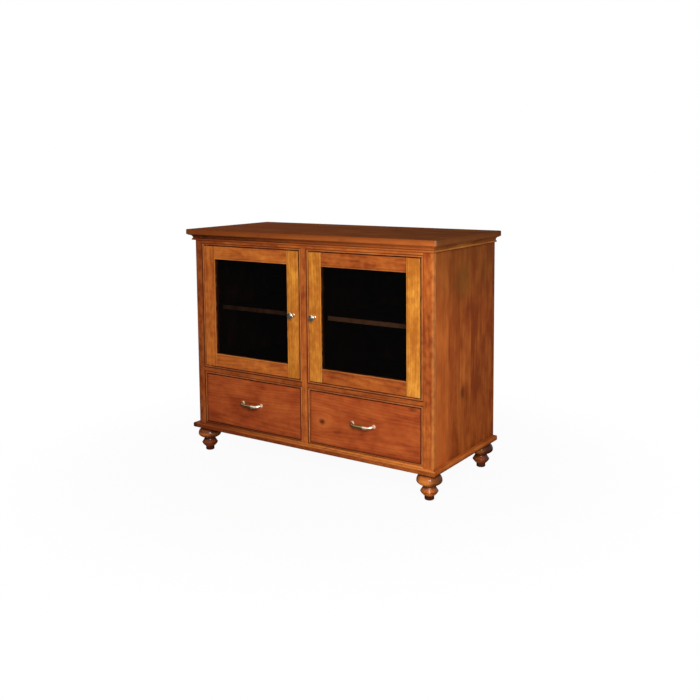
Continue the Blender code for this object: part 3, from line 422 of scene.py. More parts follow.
def plated(name, colour, worn, metallic, highlight_at=None):
    """Satin plating: fine turning marks in the gloss, and a darker tone where it has been handled.

    What isn't metallic is the warm tone of old lacquer over it. The last argument, (middle x, seat y) of a
    bowed pull, places painted highlights, pale and less metallic, at its feet and on a stretch right of its
    middle.
    """
    finish = Finish(name)
    x, y, z = finish.place()
    grain = finish.vector(x, y, z)
    rub = finish.noise(grain, RUB_CELLS, 3)
    turning = finish.noise(grain, TURNING_CELLS, 2)
    tone = finish.blend(rub.rise(0.42, 0.72) * 0.7, colour, worn)
    if highlight_at:
        middle, seat = highlight_at
        feet = y.rise(*(seat - distance for distance in PULL_HIGHLIGHT_FEET))
        stretch_highlight = (x - middle).rise(*PULL_HIGHLIGHT_STRETCH)
        tone = finish.blend(feet.most(stretch_highlight) * 0.9, tone, PULL_HIGHLIGHT_COLOUR)
        metallic = metallic - feet * 0.45
    return finish.shade(
        Base_Color=tone,
        Metallic=metallic,
        Roughness=0.10 + turning * 0.06 + rub * 0.06,
        Normal=finish.bump(turning, TURNING_DEPTH),
    )


def smoked_glass():
    """Dark float glass: clear enough that the shelf shows, with a breath of haze in its gloss."""
    finish = Finish("smoked_glass")
    x, y, z = finish.place()
    haze = finish.noise(finish.vector(x, y, z), HAZE_CELLS, 3)
    return finish.shade(
        Base_Color=(0.0012, 0.0012, 0.0012),
        Roughness=0.02 + haze.rise(0.45, 0.75) * 0.03,
        Specular_IOR_Level=0.25,
        Alpha=0.54,
    )


# Surfaces


SMALL_ROUND_STEPS = 8
ROUND_STEPS = 10


def grid_quads(rows, columns):
    """Quads of a grid of points, row by row; the last column joins the first."""
    row, column = np.meshgrid(np.arange(rows - 1), np.arange(columns), indexing="ij")
    after = (column + 1) % columns
    corners = (row * columns + column, row * columns + after)
    corners += ((row + 1) * columns + after, (row + 1) * columns + column)
    return np.stack(corners, axis=-1).reshape(-1, 4)


def smooth_piece(name, points, faces, sharp_degrees, body, slot, material, node):
    """Makes the mesh's object, which rides on a body and stands for its CAD node."""
    mesh = bpy.data.meshes.new(name)
    mesh.from_pydata(points.reshape(-1, 3).tolist(), [], [list(face) for face in faces])
    mesh.validate()
    mesh.shade_smooth()
    mesh.set_sharp_from_angle(angle=math.radians(sharp_degrees))
    mesh.materials.append(material)
    piece = bpy.data.objects.new(name, mesh)
    bpy.context.scene.collection.objects.link(piece)
    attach(piece, body)
    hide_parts(node)


def arc(centre, radii, first, last, steps):
    """Points of an arc: centre + (radius cos a, radius sin a), a in degrees; one radius makes a circle."""
    angles = np.radians(np.linspace(first, last, steps + 1))
    return np.array(centre) + radii * np.column_stack([np.cos(angles), np.sin(angles)])


def turned(profile, steps):
    """Points and faces of a lathe-turned shape on the Z axis, from its profile's top to its bottom.

    Ring points are (r cos a, r sin a, height); the profile's two ends on the axis close in poles.
    """
    rings = profile[1:-1]
    angles = np.linspace(0, 2 * math.pi, steps, endpoint=False)
    shape = (len(rings), steps)
    x = rings[:, :1] * np.cos(angles)
    y = rings[:, :1] * np.sin(angles)
    z = np.broadcast_to(rings[:, 1:], shape)
    points = np.stack([x, y, z], axis=-1).reshape(-1, 3)
    poles = np.array([[0, 0, profile[0, 1]], [0, 0, profile[-1, 1]]])
    quads = grid_quads(*shape)[:, ::-1]
    top, bottom = len(points), len(points) + 1
    near = np.arange(steps)
    after = (near + 1) % steps
    last = (len(rings) - 1) * steps
    fans = [(top, *pair) for pair in zip(near, after)]
    fans += [(bottom, *pair) for pair in zip(last + after, last + near)]
    return np.concatenate([points, poles]), [*quads.tolist(), *fans]


def strip(starts, ends, stations):
    """Points and faces of a closed section carried straight from its starts to its ends, capped."""
    share = np.linspace(0, 1, stations)[:, None, None]
    points = starts + (ends - starts) * share
    count = len(starts)
    quads = grid_quads(stations, count)
    first = tuple(range(count))[::-1]
    last = tuple(range((stations - 1) * count, stations * count))
    return points, [*quads.tolist(), first, last]


# Top board


TOP_NOSE = 0.0045
TOP_NOSE_STEPS = 12
TOP_NOSE_UNDER = 0.004
TOP_CORNER = 0.008
TOP_BOARD_WIDTH = 0.118
TOP_SEED = 3
TOP_SHARP = 40
TOP_EDGE_BAND = (0.002, 0.0045)
TOP_FACE_BAND = (0.001, 0.016)
# The top's colours: painted light and painted shade on its front edge, its darker ends, painted shade on its
# face
TOP_EDGE_LIT_COLOUR = (0.40, 0.098, 0.020)
TOP_EDGE_SHADE_COLOUR = (0.160, 0.034, 0.008)
TOP_END_COLOUR = (0.165, 0.054, 0.017)
TOP_FACE_SHADE_COLOUR = (0.115, 0.030, 0.005)


def top_surface(low, high):
    """A slab whose front and end edges carry a nose: nested outlines, inset and lifted along its curve.

    Each outline runs from the back left corner round the front to the back right one, with arcs at the
    two front corners; only its front and ends move in.
    """
    upper = arc((TOP_NOSE, high.z - TOP_NOSE), TOP_NOSE, 90, 180, TOP_NOSE_STEPS)
    under_middle = (TOP_NOSE_UNDER, low.z + TOP_NOSE_UNDER)
    lower = arc(under_middle, TOP_NOSE_UNDER, 180, 270, SMALL_ROUND_STEPS)
    corner = arc((0, 0), 1, 180, 270, ROUND_STEPS)
    loops = []
    for inset, height in np.concatenate([upper, lower]):
        bend = TOP_CORNER - inset
        left = corner * bend + (low.x + inset + bend, low.y + inset + bend)
        right = left[::-1] * (-1, 1)
        back = [(low.x + inset, high.y)]
        outline = np.concatenate([back, left, right, np.array(back) * (-1, 1)])
        loops.append(np.column_stack([outline, np.full(len(outline), height)]))
    points = np.array(loops)
    rows, columns = points.shape[:2]
    cap_top = tuple(range(columns))
    cap_bottom = tuple(range((rows - 1) * columns, rows * columns))[::-1]
    return points, [*grid_quads(rows, columns)[:, ::-1].tolist(), cap_top, cap_bottom]


def top_board():
    """Ends darker; painted shade on face and left, painted light on front edge; thick lacquer front right."""
    low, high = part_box("top_panel")
    # Painted light on the front edge, growing to the right, over painted shade on its left
    marks = [mark("y", low.y, *TOP_EDGE_BAND, TOP_EDGE_LIT_COLOUR, (0.0, 0.95))]
    marks += [mark("y", low.y, *TOP_EDGE_BAND, TOP_EDGE_SHADE_COLOUR, (0.75, 0.0))]
    marks += [mark("x", end, *TOP_EDGE_BAND, TOP_END_COLOUR, (0.85, 0.85)) for end in (low.x, high.x)]
    # Painted shade on the left end, and on the face, most at its back; the face reddens to the left
    marks += [mark("x", low.x, 0.004, 0.014, SHADE_AND_SMUDGE_COLOUR, (0.6, 0.6))]
    marks += [mark("z", high.z, *TOP_FACE_BAND, BLUSH_COLOUR, (0.5, 0.0))]
    marks += [mark("z", high.z, *TOP_FACE_BAND, TOP_FACE_SHADE_COLOUR, (0.45, 0.40))]
    marks += [mark("y", high.y, 0.006, 0.05, TOP_FACE_SHADE_COLOUR, (0.4, 0.6))]
    # The fade along x is painted light: the top grows darker to the right
    look = {"board": TOP_BOARD_WIDTH, "coat": 0.012, "marks": marks, "fades": {"x": -0.40}}
    look.update({"corners": [(high.x, low.y)], "figure": 0.7, "ripples": (30, 30, 14)})
    material = wood("top_board_finish", "tawny", "xyz", low, high, TOP_SEED, **look)
    points, faces = top_surface(low, high)
    smooth_piece("top_board", points, faces, TOP_SHARP, "cabinet", "top_cherry", material, "top_panel")


# Mouldings


CROWN_REACH = 0.019
CROWN_NECK = 0.0045
CROWN_FILLET = 0.002
CROWN_BEAD_RADIUS = 0.0042
CROWN_BEAD_MIDDLE = 0.0043
CROWN_BEAD_STEPS = 14
CROWN_COVE_LOW = 0.0094
CROWN_COVE_STEPS = 16
CROWN_SEED = 20
BASE_REACH = 0.017
BASE_UNDER_ROUND = 0.005
BASE_UPPER_ROUND = 0.0045
BASE_EDGE_HIGHLIGHT_COLOUR = (0.66, 0.235, 0.050)
BASE_SEED = 30
MITRE_GAP = 0.0003
MOULDING_SHARP = 30
FRONT_STATIONS = 40
END_STATIONS = 20


def crown_section():
    """(reach, height): a bead below, then a cove up to a fillet."""
    low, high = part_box("crown_front")
    height = high.z - low.z
    bead_middle = (CROWN_BEAD_MIDDLE, CROWN_BEAD_RADIUS)
    bead = arc(bead_middle, CROWN_BEAD_RADIUS, -90, 90, CROWN_BEAD_STEPS)
    cove_radii = (CROWN_REACH - CROWN_NECK, height - CROWN_FILLET - CROWN_COVE_LOW)
    cove = arc((CROWN_REACH, CROWN_COVE_LOW), cove_radii, 180, 90, CROWN_COVE_STEPS)
    return np.concatenate([[(0, 0)], bead, cove, [(CROWN_REACH, height), (0, height)]])


def crown_marks():
    """Painted shade in the quirk and the left cove; painted light on cove and bead to the right; ends: bead
    only.
    """
    low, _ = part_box("crown_front")
    # The bead's painted highlight takes the stain's lightest colour
    light = STAINS["umber"][2]
    cove = (low.z + 0.0165, 0.006, 0.009)
    bead = (low.z + 0.0045, 0.001, 0.0035)
    quirk = (low.z + 0.0089, 0.0006, 0.0018)
    front = [mark("z", *cove, TOP_EDGE_LIT_COLOUR, (0.0, 0.85)), mark("z", *cove, SHADE_AND_SMUDGE_COLOUR, (0.80, 0.0))]
    front += [mark("z", *quirk, SHADE_AND_SMUDGE_COLOUR, (0.9, 0.6)), mark("z", *bead, light, (0.1, 0.7))]
    return front, [mark("z", *bead, PAINTED_HIGHLIGHT_COLOUR, (0.4, 0.2))]


def base_section():
    """(reach, height): a strip whose lower and upper edges are rounded."""
    low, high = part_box("base_front")
    height = high.z - low.z
    under_middle = (BASE_REACH - BASE_UNDER_ROUND, BASE_UNDER_ROUND)
    under = arc(under_middle, BASE_UNDER_ROUND, -90, 0, SMALL_ROUND_STEPS)
    upper_middle = (BASE_REACH - BASE_UPPER_ROUND, height - BASE_UPPER_ROUND)
    upper = arc(upper_middle, BASE_UPPER_ROUND, 0, 90, SMALL_ROUND_STEPS)
    return np.concatenate([[(0, 0)], under, upper, [(0, height)]])


def base_marks():
    """Painted highlight on the upper edge, most on the right; painted shade below it and at the left end."""
    low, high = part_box("base_front")
    dark = STAINS["umber"][0]
    front = [mark("z", low.z, 0.013, 0.019, dark, (1.0, 0.55))]
    front += [mark("z", high.z, 0.0003, 0.0022, BASE_EDGE_HIGHLIGHT_COLOUR, (0.0, 0.85))]
    front += [mark("x", low.x, 0.012, 0.024, SHADE_AND_SMUDGE_COLOUR, (0.7, 0.7))]
    return front, [mark("z", low.z, 0.004, 0.012, dark, (0.8, 0.8))]


def moulding(word, section, marks, stain, end_stain, seed):
    """Three strips round the front and ends. At a mitre each point of the section runs on by its reach."""
    front_low, front_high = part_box(word + "_front")
    reach = section[:, 0]
    height = section[:, 1] + front_low.z
    face_x = front_high.x - reach.max()
    y = front_low.y + reach.max() - reach
    starts = np.column_stack([-face_x - reach, y, height])
    ends = starts * (-1, 1, 1)
    points, faces = strip(starts[::-1], ends[::-1], FRONT_STATIONS)
    front_marks, end_marks = marks
    # The fade along x is painted light: the front strips lighten to the right
    look = {"coat": 0.15, "marks": front_marks, "fades": {"x": 0.6}}
    material = wood(word + "_front_finish", stain, "xzy", front_low, front_high, seed, **look)
    finish = ("cabinet", "base_cherry", material)
    smooth_piece(word + "_moulding_front", points, faces, MOULDING_SHARP, *finish, word + "_front")
    for number, (side, sign) in enumerate(SIDES):
        node = word + "_" + side
        low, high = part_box(node)
        x = sign * (face_x + reach)
        starts = np.column_stack([x, y + MITRE_GAP * math.sqrt(2), height])
        ends = np.column_stack([x, np.full(len(x), high.y), height])
        order = slice(None, None, -sign)
        points, faces = strip(starts[order], ends[order], END_STATIONS)
        look = {"tone": 0.6, "coat": 0.03, "marks": end_marks}
        material = wood(node + "_finish", end_stain, "yzx", low, high, seed + 1 + number, **look)
        finish = ("cabinet", "base_cherry", material)
        smooth_piece(word + "_moulding_" + side, points, faces, MOULDING_SHARP, *finish, node)


# Feet


FOOT_COLLAR_RADIUS = 0.034
FOOT_COLLAR_HEIGHT = 0.004
FOOT_COLLAR_EASE = 0.0008
FOOT_BUN_RADIUS = 0.048
FOOT_BUN_HEIGHT = 0.073
FOOT_BUN_CREST = 0.0765
FOOT_SHOULDER_STEPS = 16
FOOT_BUN_STEPS = 24
FOOT_NECK_RADIUS = 0.0248
FOOT_NECK_HOLLOW = 0.0012
FOOT_NECK_TOP = 0.0557
FOOT_NECK_LOW = 0.0475
FOOT_NECK_STEPS = 13
FOOT_RING_RADIUS = 0.0335
FOOT_RING_HEIGHT = 0.033
FOOT_TAPER_BULGE = 0.002
FOOT_TAPER_STEPS = 60
FOOT_GROOVE = 0.0007
FOOT_GROOVE_WIDTH = 0.035
FOOT_GROOVE_PLACES = (0.30, 0.62)
FOOT_PAD_RADIUS = 0.018
FOOT_PAD_HEIGHT = 0.015
FOOT_PAD_EASE = 0.004
FOOT_PAD_SHADE_HEIGHT = 0.005
FOOT_TURNING_STEPS = 72
FOOT_SEED = 40
FOOT_SHARP = 32


def foot_section(height):
    """(radius, height) down a foot: collar, bun, hollow neck, flared ring, grooved taper and pad.

    The bun is an ellipse about the axis, with one height up to the collar and another down to the neck.
    The neck is hollowed by a sine. The taper bulges by a parabola, and two fine grooves are cut into it
    as narrow bells, at shares of its length.
    """
    collar_angle = math.acos(FOOT_COLLAR_RADIUS / FOOT_BUN_RADIUS)
    neck_angle = math.acos(FOOT_NECK_RADIUS / FOOT_BUN_RADIUS)
    collar_low = height - FOOT_COLLAR_HEIGHT
    up_radii = (FOOT_BUN_RADIUS, (collar_low - FOOT_BUN_HEIGHT) / math.sin(collar_angle))
    down_radii = (FOOT_BUN_RADIUS, (FOOT_BUN_HEIGHT - FOOT_NECK_TOP) / math.sin(neck_angle))
    bun_middle = (0, FOOT_BUN_HEIGHT)
    upper = arc(bun_middle, up_radii, math.degrees(collar_angle), 0, FOOT_SHOULDER_STEPS)
    lower = arc(bun_middle, down_radii, 0, -math.degrees(neck_angle), FOOT_BUN_STEPS)
    collar = [(0.0, height), (FOOT_COLLAR_RADIUS - FOOT_COLLAR_EASE, height)]
    collar += [(FOOT_COLLAR_RADIUS, height - FOOT_COLLAR_EASE)]

    share = np.linspace(0, 1, FOOT_NECK_STEPS + 1)[1:]
    hollow = FOOT_NECK_RADIUS - FOOT_NECK_HOLLOW * np.sin(math.pi * share)
    neck = np.column_stack([hollow, between(FOOT_NECK_TOP, FOOT_NECK_LOW, share)])
    flare_radius = between(FOOT_NECK_RADIUS, FOOT_RING_RADIUS, share)
    flare = np.column_stack([flare_radius, between(FOOT_NECK_LOW, FOOT_RING_HEIGHT, share)])

    share = np.linspace(0, 1, FOOT_TAPER_STEPS + 1)[1:]
    bulge = FOOT_TAPER_BULGE * 4 * share * (1 - share)
    bells = sum(np.exp(-(((share - place) / FOOT_GROOVE_WIDTH) ** 2)) for place in FOOT_GROOVE_PLACES)
    taper_radius = between(FOOT_RING_RADIUS, FOOT_PAD_RADIUS, share) + bulge - FOOT_GROOVE * bells
    taper = np.column_stack([taper_radius, between(FOOT_RING_HEIGHT, FOOT_PAD_HEIGHT, share)])
    pad_middle = (FOOT_PAD_RADIUS - FOOT_PAD_EASE, FOOT_PAD_EASE)
    pad_round = arc(pad_middle, FOOT_PAD_EASE, 0, -90, SMALL_ROUND_STEPS)
    return np.concatenate([collar, upper, lower[1:], neck, flare, taper, pad_round, [(0.0, 0.0)]])


def foot_marks(low, high, flank_shade):
    """Painted shade under the base, in the neck, at the ring, on pad and flanks; painted highlight on the
    bun.
    """
    marks = [mark("z", high.z, 0.004, 0.014)]
    marks += [mark("z", (FOOT_NECK_TOP + FOOT_NECK_LOW) / 2, 0.003, 0.010)]
    marks += [mark("z", FOOT_RING_HEIGHT, 0.0003, 0.0020)]
    marks += [mark("z", FOOT_PAD_SHADE_HEIGHT, 0.010, 0.016, SHADE_AND_SMUDGE_COLOUR, (1.0, 1.0))]
    marks += [mark("z", FOOT_BUN_CREST, 0.001, 0.008, PAINTED_HIGHLIGHT_COLOUR, (0.45, 0.45))]
    return marks + [mark("x", place, 0.008, 0.034, SHADE_AND_SMUDGE_COLOUR, (flank_shade, flank_shade)) for place in (low.x, high.x)]


def feet():
    """Turned feet with painted light and shade: darker at the rear, and the front right one the lightest."""
    for number, (row, flank_shade) in enumerate((("front", 0.75), ("rear", 1.0))):
        for side, sign in SIDES:
            node = "foot_" + row + "_" + side
            low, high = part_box(node)
            points, faces = turned(foot_section(high.z - low.z), FOOT_TURNING_STEPS)
            points = points + np.array([(low.x + high.x) / 2, (low.y + high.y) / 2, low.z])
            seed = FOOT_SEED + 2 * number + (sign > 0)
            # Painted light: the front right foot takes a lighter stain, and each foot lightens towards its
            # front
            stain, tone = ("amber", 0.35) if node == "foot_front_right" else ("umber", 0.20)
            look = {"tone": tone, "coat": 0.3, "marks": foot_marks(low, high, flank_shade), "fades": {"y": -0.7}}
            material = wood(node + "_finish", stain, "zxy", low, high, seed, **look)
            finish = ("cabinet", "base_cherry", material)
            smooth_piece("turned_" + node, points, faces, FOOT_SHARP, *finish, node)


# Handles


KNOB_RADIUS = 0.0132
KNOB_DISC = 0.0075
KNOB_EDGE_ROUND = 0.0022
KNOB_CROWN = 0.0022
KNOB_FACE_STEPS = 13
KNOB_STEM_RADIUS = 0.0048
KNOB_ROSE_RADIUS = 0.008
KNOB_ROSE_THICKNESS = 0.001
KNOB_TURNING_STEPS = 64
KNOB_SHARP = 40
KNOB_COLOUR = (0.92, 0.80, 0.64)
KNOB_WORN_COLOUR = (0.66, 0.54, 0.38)


def knob_section(projection):
    """(radius, height off the door) down a knob: domed face, round edge, hollow back, stem and rose.

    The face falls away from its middle as a parabola; the other stretches are arcs.
    """
    face_radius = KNOB_RADIUS - KNOB_EDGE_ROUND
    share = np.linspace(0, 1, KNOB_FACE_STEPS + 1)
    face = np.column_stack([face_radius * share, projection - KNOB_CROWN * share**2])
    edge_height = projection - KNOB_CROWN - KNOB_EDGE_ROUND
    edge = arc((face_radius, edge_height), KNOB_EDGE_ROUND, 66, 0, SMALL_ROUND_STEPS)
    back_radii = (KNOB_RADIUS - KNOB_STEM_RADIUS, KNOB_DISC - KNOB_CROWN - KNOB_EDGE_ROUND)
    back = arc((KNOB_STEM_RADIUS, edge_height), back_radii, -10, -88, ROUND_STEPS)
    flare = KNOB_ROSE_RADIUS - KNOB_STEM_RADIUS
    rose = arc((KNOB_ROSE_RADIUS, KNOB_ROSE_THICKNESS + flare), flare, 180, 268, ROUND_STEPS)
    foot = [(KNOB_ROSE_RADIUS, 0.0), (0.0, 0.0)]
    return np.concatenate([face, edge, back, rose, foot])


def knobs():
    """Both knobs, turned upright and laid over to stand out from their doors."""
    material = plated("satin_nickel_finish", KNOB_COLOUR, KNOB_WORN_COLOUR, 0.95)
    for side, _ in SIDES:
        node = "knob_" + side
        low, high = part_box(node)
        points, faces = turned(knob_section(high.y - low.y), KNOB_TURNING_STEPS)
        points = points[:, [0, 2, 1]] * (1, -1, 1)
        points = points + np.array([(low.x + high.x) / 2, high.y, (low.z + high.z) / 2])
        finish = ("door_" + side, "satin_nickel", material)
        smooth_piece("turned_" + node, points, faces, KNOB_SHARP, *finish, node)


PULL_SPACING = 0.096
PULL_PROJECTION = 0.0196
PULL_DROOP = 0.005
PULL_SEAT_DROP = 0.002
PULL_SQUARENESS = 3.2
PULL_MIDDLE_RADIUS = 0.0069
PULL_SWELL_POWER = 3
PULL_NECK_RADIUS = 0.0058
PULL_FOOT_RADIUS = 0.0082
PULL_FOOT_LENGTH = 0.010
PULL_FOOT_POWER = 1.5
PULL_RING = 0.0008
PULL_RING_PLACE = 0.018
PULL_RING_WIDTH = 0.0016
PULL_SAMPLES = 2001
PULL_STATIONS = 161
PULL_AROUND = 32
PULL_SHARP = 50
PULL_COLOUR = (0.33, 0.25, 0.11)
PULL_WORN_COLOUR = (0.18, 0.13, 0.055)


def pull_path():
    """(x, reach off the drawer, height) and travel at even steps along half a superellipse.

    |x / a|^n + |y / b|^n = 1, with straight ends at the seat; past its feet the bar droops in step with
    its reach, by a smooth step.
    """
    angle = np.linspace(0, math.pi, PULL_SAMPLES)[1:-1]
    power = 2 / PULL_SQUARENESS
    x = -np.sign(np.cos(angle)) * np.abs(np.cos(angle)) ** power * PULL_SPACING / 2
    out = np.sin(angle) ** power * PULL_PROJECTION
    x = np.concatenate([[x[0]], x, [x[-1]]])
    out = np.concatenate([[0.0], out, [0.0]])
    travel = np.concatenate([[0.0], np.cumsum(np.hypot(np.diff(x), np.diff(out)))])
    even = np.linspace(0, travel[-1], PULL_STATIONS)
    x = np.interp(even, travel, x)
    out = np.interp(even, travel, out)
    past_foot = np.clip((out - PULL_FOOT_LENGTH) / (PULL_PROJECTION - PULL_FOOT_LENGTH), 0, 1)
    return x, out, -PULL_DROOP * past_foot**2 * (3 - 2 * past_foot), even


def pull_surface():
    """A round bar on the pull's path, whose radius swells to its middle by a power of a sine.

    Its feet flare by a power of the distance from the end, and a narrow bell makes a ring at each bend.
    """
    x, out, z, travel = pull_path()
    swell = np.sin(math.pi * travel / travel[-1]) ** PULL_SWELL_POWER
    from_end = np.minimum(travel, travel[-1] - travel)
    foot = np.clip(1 - from_end / PULL_FOOT_LENGTH, 0, 1) ** PULL_FOOT_POWER
    ring = np.exp(-(((from_end - PULL_RING_PLACE) / PULL_RING_WIDTH) ** 2))
    radius = PULL_NECK_RADIUS + (PULL_MIDDLE_RADIUS - PULL_NECK_RADIUS) * swell
    radius = radius + (PULL_FOOT_RADIUS - PULL_NECK_RADIUS) * foot + PULL_RING * ring

    heading = np.stack([np.gradient(x), -np.gradient(out), np.gradient(z)], axis=1)
    heading[[0, -1]] = [(0, -1, 0), (0, 1, 0)]
    heading /= np.linalg.norm(heading, axis=1, keepdims=True)
    upward = np.array([0.0, 0.0, 1.0]) - heading * heading[:, 2:]
    upward /= np.linalg.norm(upward, axis=1, keepdims=True)
    sideways = np.cross(heading, upward)
    turn = np.linspace(0, 2 * math.pi, PULL_AROUND, endpoint=False)[None, :, None]
    round_bar = sideways[:, None] * np.cos(turn) + upward[:, None] * np.sin(turn)
    centre = np.stack([x, -out, z], axis=1)
    points = centre[:, None] + radius[:, None, None] * round_bar
    count = PULL_STATIONS * PULL_AROUND
    caps = [tuple(range(PULL_AROUND)), tuple(range(count - PULL_AROUND, count))[::-1]]
    return points, [*grid_quads(PULL_STATIONS, PULL_AROUND)[:, ::-1].tolist(), *caps]


def pulls():
    """The pull's feet are the highest part of it, so the box's top gives the height of its seat.

    The bar hangs a little less below its feet than the solid's, and both lie within the solid's box.
    """
    for side, _ in SIDES:
        node = "pull_" + side
        low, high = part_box(node)
        points, faces = pull_surface()
        middle = (low.x + high.x) / 2
        points = points + np.array([middle, high.y, high.z - PULL_FOOT_RADIUS - PULL_SEAT_DROP])
        material = plated(node + "_finish", PULL_COLOUR, PULL_WORN_COLOUR, 0.85, (middle, high.y))
        finish = ("drawer_" + side, "warm_nickel", material)
        smooth_piece("bowed_" + node, points, faces, PULL_SHARP, *finish, node)


# Marks on the boards that keep their solids


# Full strength and reach of a line along an edge and of a face painted with shade or light; then places in
# from an edge
EDGE_LINE = (0.0006, 0.0028)
SKIN = (0.001, 0.003)
BEAD_CREST = 0.003
BEAD_QUIRK = 0.0072
PANE_LINE = 0.0075

# The widest gap round a door or a drawer
OPENING_GAP = 0.004

# Painted light on the shelves' front edges, lit through the panes while the rest inside is in painted shade
SHELF_EDGE_LIT_COLOUR = (0.84, 0.345, 0.155)
SIDE_FRONT_COLOUR = (0.58, 0.130, 0.027)
SIDE_TOP_COLOUR = (0.120, 0.050, 0.009)
DRAWER_FRONTS = ("drawer_left_front", "drawer_right_front")
DOOR_STILES = [f"door_{side}_{word}_stile" for side, _ in SIDES for word in ("hinge", "knob")]

# Frame members: the axis across each, the crest highlight's shares at both ends of its grain, and the quirk
# shade's share
FRAME_MEMBERS = {
    "stile_left": ("x", (0.05, 0.55), 0.9),
    "stile_right": ("x", (0.35, 0.35), 0.85),
    "mullion": ("x", (0.35, 0.35), 0.85),
    "top_rail": ("z", (0.12, 0.12), 0.7),
    "bottom_rail": ("z", (0.0, 0.0), 0.1),
    "middle_rail_left": ("z", (0.15, 0.15), 0.8),
    "middle_rail_right": ("z", (0.2, 0.2), 0.8),
}


def edges_of(node, axis):
    """Both edges of a board on one axis."""
    low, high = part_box(node)
    number = "xyz".index(axis)
    return [(axis, low[number]), (axis, high[number])]


def opening_edges(node, axis):
    """The edges of a frame member that face an opening, near a door or a drawer, and their way inward."""
    fillers = [*DOOR_STILES, *DRAWER_FRONTS]
    places = [place for filler in fillers for _, place in edges_of(filler, axis)]
    edges = [(place, inward) for (_, place), inward in zip(edges_of(node, axis), (1, -1))]
    return [edge for edge in edges if min(abs(edge[0] - place) for place in places) < OPENING_GAP]


def bead_marks(node, axis, crest, quirk):
    """A painted highlight on the crest of each bead of a frame member, and painted shade in the quirk beside
    it.
    """
    marks = []
    for edge, inward in opening_edges(node, axis):
        marks.append(mark(axis, edge + inward * BEAD_CREST, 0.0012, 0.0028, CREST_HIGHLIGHT_COLOUR, crest))
        marks.append(mark(axis, edge + inward * BEAD_QUIRK, 0.0009, 0.0019, SHADE_AND_SMUDGE_COLOUR, (quirk, quirk)))
    return marks


def frame_marks():
    """Painted highlights and shade on beads and quirks, the bottom rail, the base's top and the right corner.
    """
    marks = {node: bead_marks(node, *member) for node, member in FRAME_MEMBERS.items()}
    _, rail_top = edges_of("bottom_rail", "z")
    _, base_top = edges_of("base_front", "z")
    # Painted shade on the bottom rail, most on the left, and over its bead; a painted highlight along the
    # base's top, growing to the right
    marks["bottom_rail"].append(mark(*rail_top, 0.025, 0.030, STAINS["umber"][0], (0.7, 0.0)))
    marks["bottom_rail"].append(mark(*rail_top, 0.005, 0.0075, SHADE_AND_SMUDGE_COLOUR, (0.45, 0.35)))
    marks["bottom_rail"].append(mark(*base_top, 0.0036, 0.0055, BASE_EDGE_HIGHLIGHT_COLOUR, (0.0, 1.0)))
    # A painted highlight on the right stile's rounded corner
    _, corner = edges_of("stile_right", "x")
    marks["stile_right"].append(mark(*corner, 0.002, 0.007, PAINTED_HIGHLIGHT_COLOUR, (0.3, 0.3)))
    return marks


def drawer_marks():
    """Painted shade along the drawer fronts' edges, most of all below and on the left."""
    marks = {}
    for node in DRAWER_FRONTS:
        upright, level = edges_of(node, "x"), edges_of(node, "z")
        marks[node] = [mark(*edge, *EDGE_LINE) for edge in upright + level]
        marks[node].append(mark(*level[0], 0.001, 0.009, SHADE_AND_SMUDGE_COLOUR, (0.5, 0.2)))
        marks[node].append(mark(*upright[0], 0.002, 0.014, SHADE_AND_SMUDGE_COLOUR, (0.4, 0.4)))
    return marks


def pane_marks(axis, place, inward):
    """Painted highlight on the edge round a pane, a faint dark line beside it, painted shade on the reveal.
    """
    marks = [mark(axis, place, 0.0015, 0.0045, PAINTED_HIGHLIGHT_COLOUR, (0.4, 0.4))]
    marks += [mark(axis, place, 0.0004, 0.0014, SHADE_AND_SMUDGE_COLOUR, (0.9, 0.9))]
    return [*marks, mark(axis, place + inward * PANE_LINE, 0.0008, 0.0022, SHADE_AND_SMUDGE_COLOUR, (0.3, 0.3))]


def door_marks():
    """Marks of both doors' stiles and rails: painted shade along the outer edges, painted highlights round
    the pane.
    """
    marks = {}
    for side, sign in SIDES:
        stiles = [("hinge_stile", "x", sign), ("knob_stile", "x", -sign)]
        for word, axis, outward in [*stiles, ("top_rail", "z", 1), ("bottom_rail", "z", -1)]:
            node = f"door_{side}_{word}"
            low, high = edges_of(node, axis)
            outer, inner = (high, low) if outward > 0 else (low, high)
            ends = edges_of(node, "z") if axis == "x" else []
            marks[node] = [mark(*edge, *EDGE_LINE) for edge in (outer, *ends)]
            marks[node] += pane_marks(*inner, outward)
    return marks


def carcass_marks():
    """Side panels redder in front and browner above, painted shade inside them and on the back's inside,
    and painted light on the shelves' front edges.
    """
    inside = STAINS["shadow"][1]
    marks = {"back_panel": [mark(*edges_of("back_panel", "y")[0], *SKIN, inside, (1.0, 1.0))]}
    for side, sign in SIDES:
        node = "side_panel_" + side
        low, high = edges_of(node, "x")
        marks[node] = [mark(*edges_of(node, "z")[1], 0.04, 0.34, SIDE_TOP_COLOUR, (0.4, 0.4))]
        marks[node] += [mark(*edges_of(node, "y")[0], 0.06, 0.18, SIDE_FRONT_COLOUR, (0.45, 0.0))]
        marks[node] += [mark(*(high if sign < 0 else low), *SKIN, inside, (1.0, 1.0))]
        shares = (0.4, 0.7) if sign < 0 else (1.0, 1.0)
        shelf = "shelf_" + side
        marks[shelf] = [mark(*edges_of(shelf, "y")[0], *SKIN, SHELF_EDGE_LIT_COLOUR, shares)]
    return marks


# Boards that keep their solids


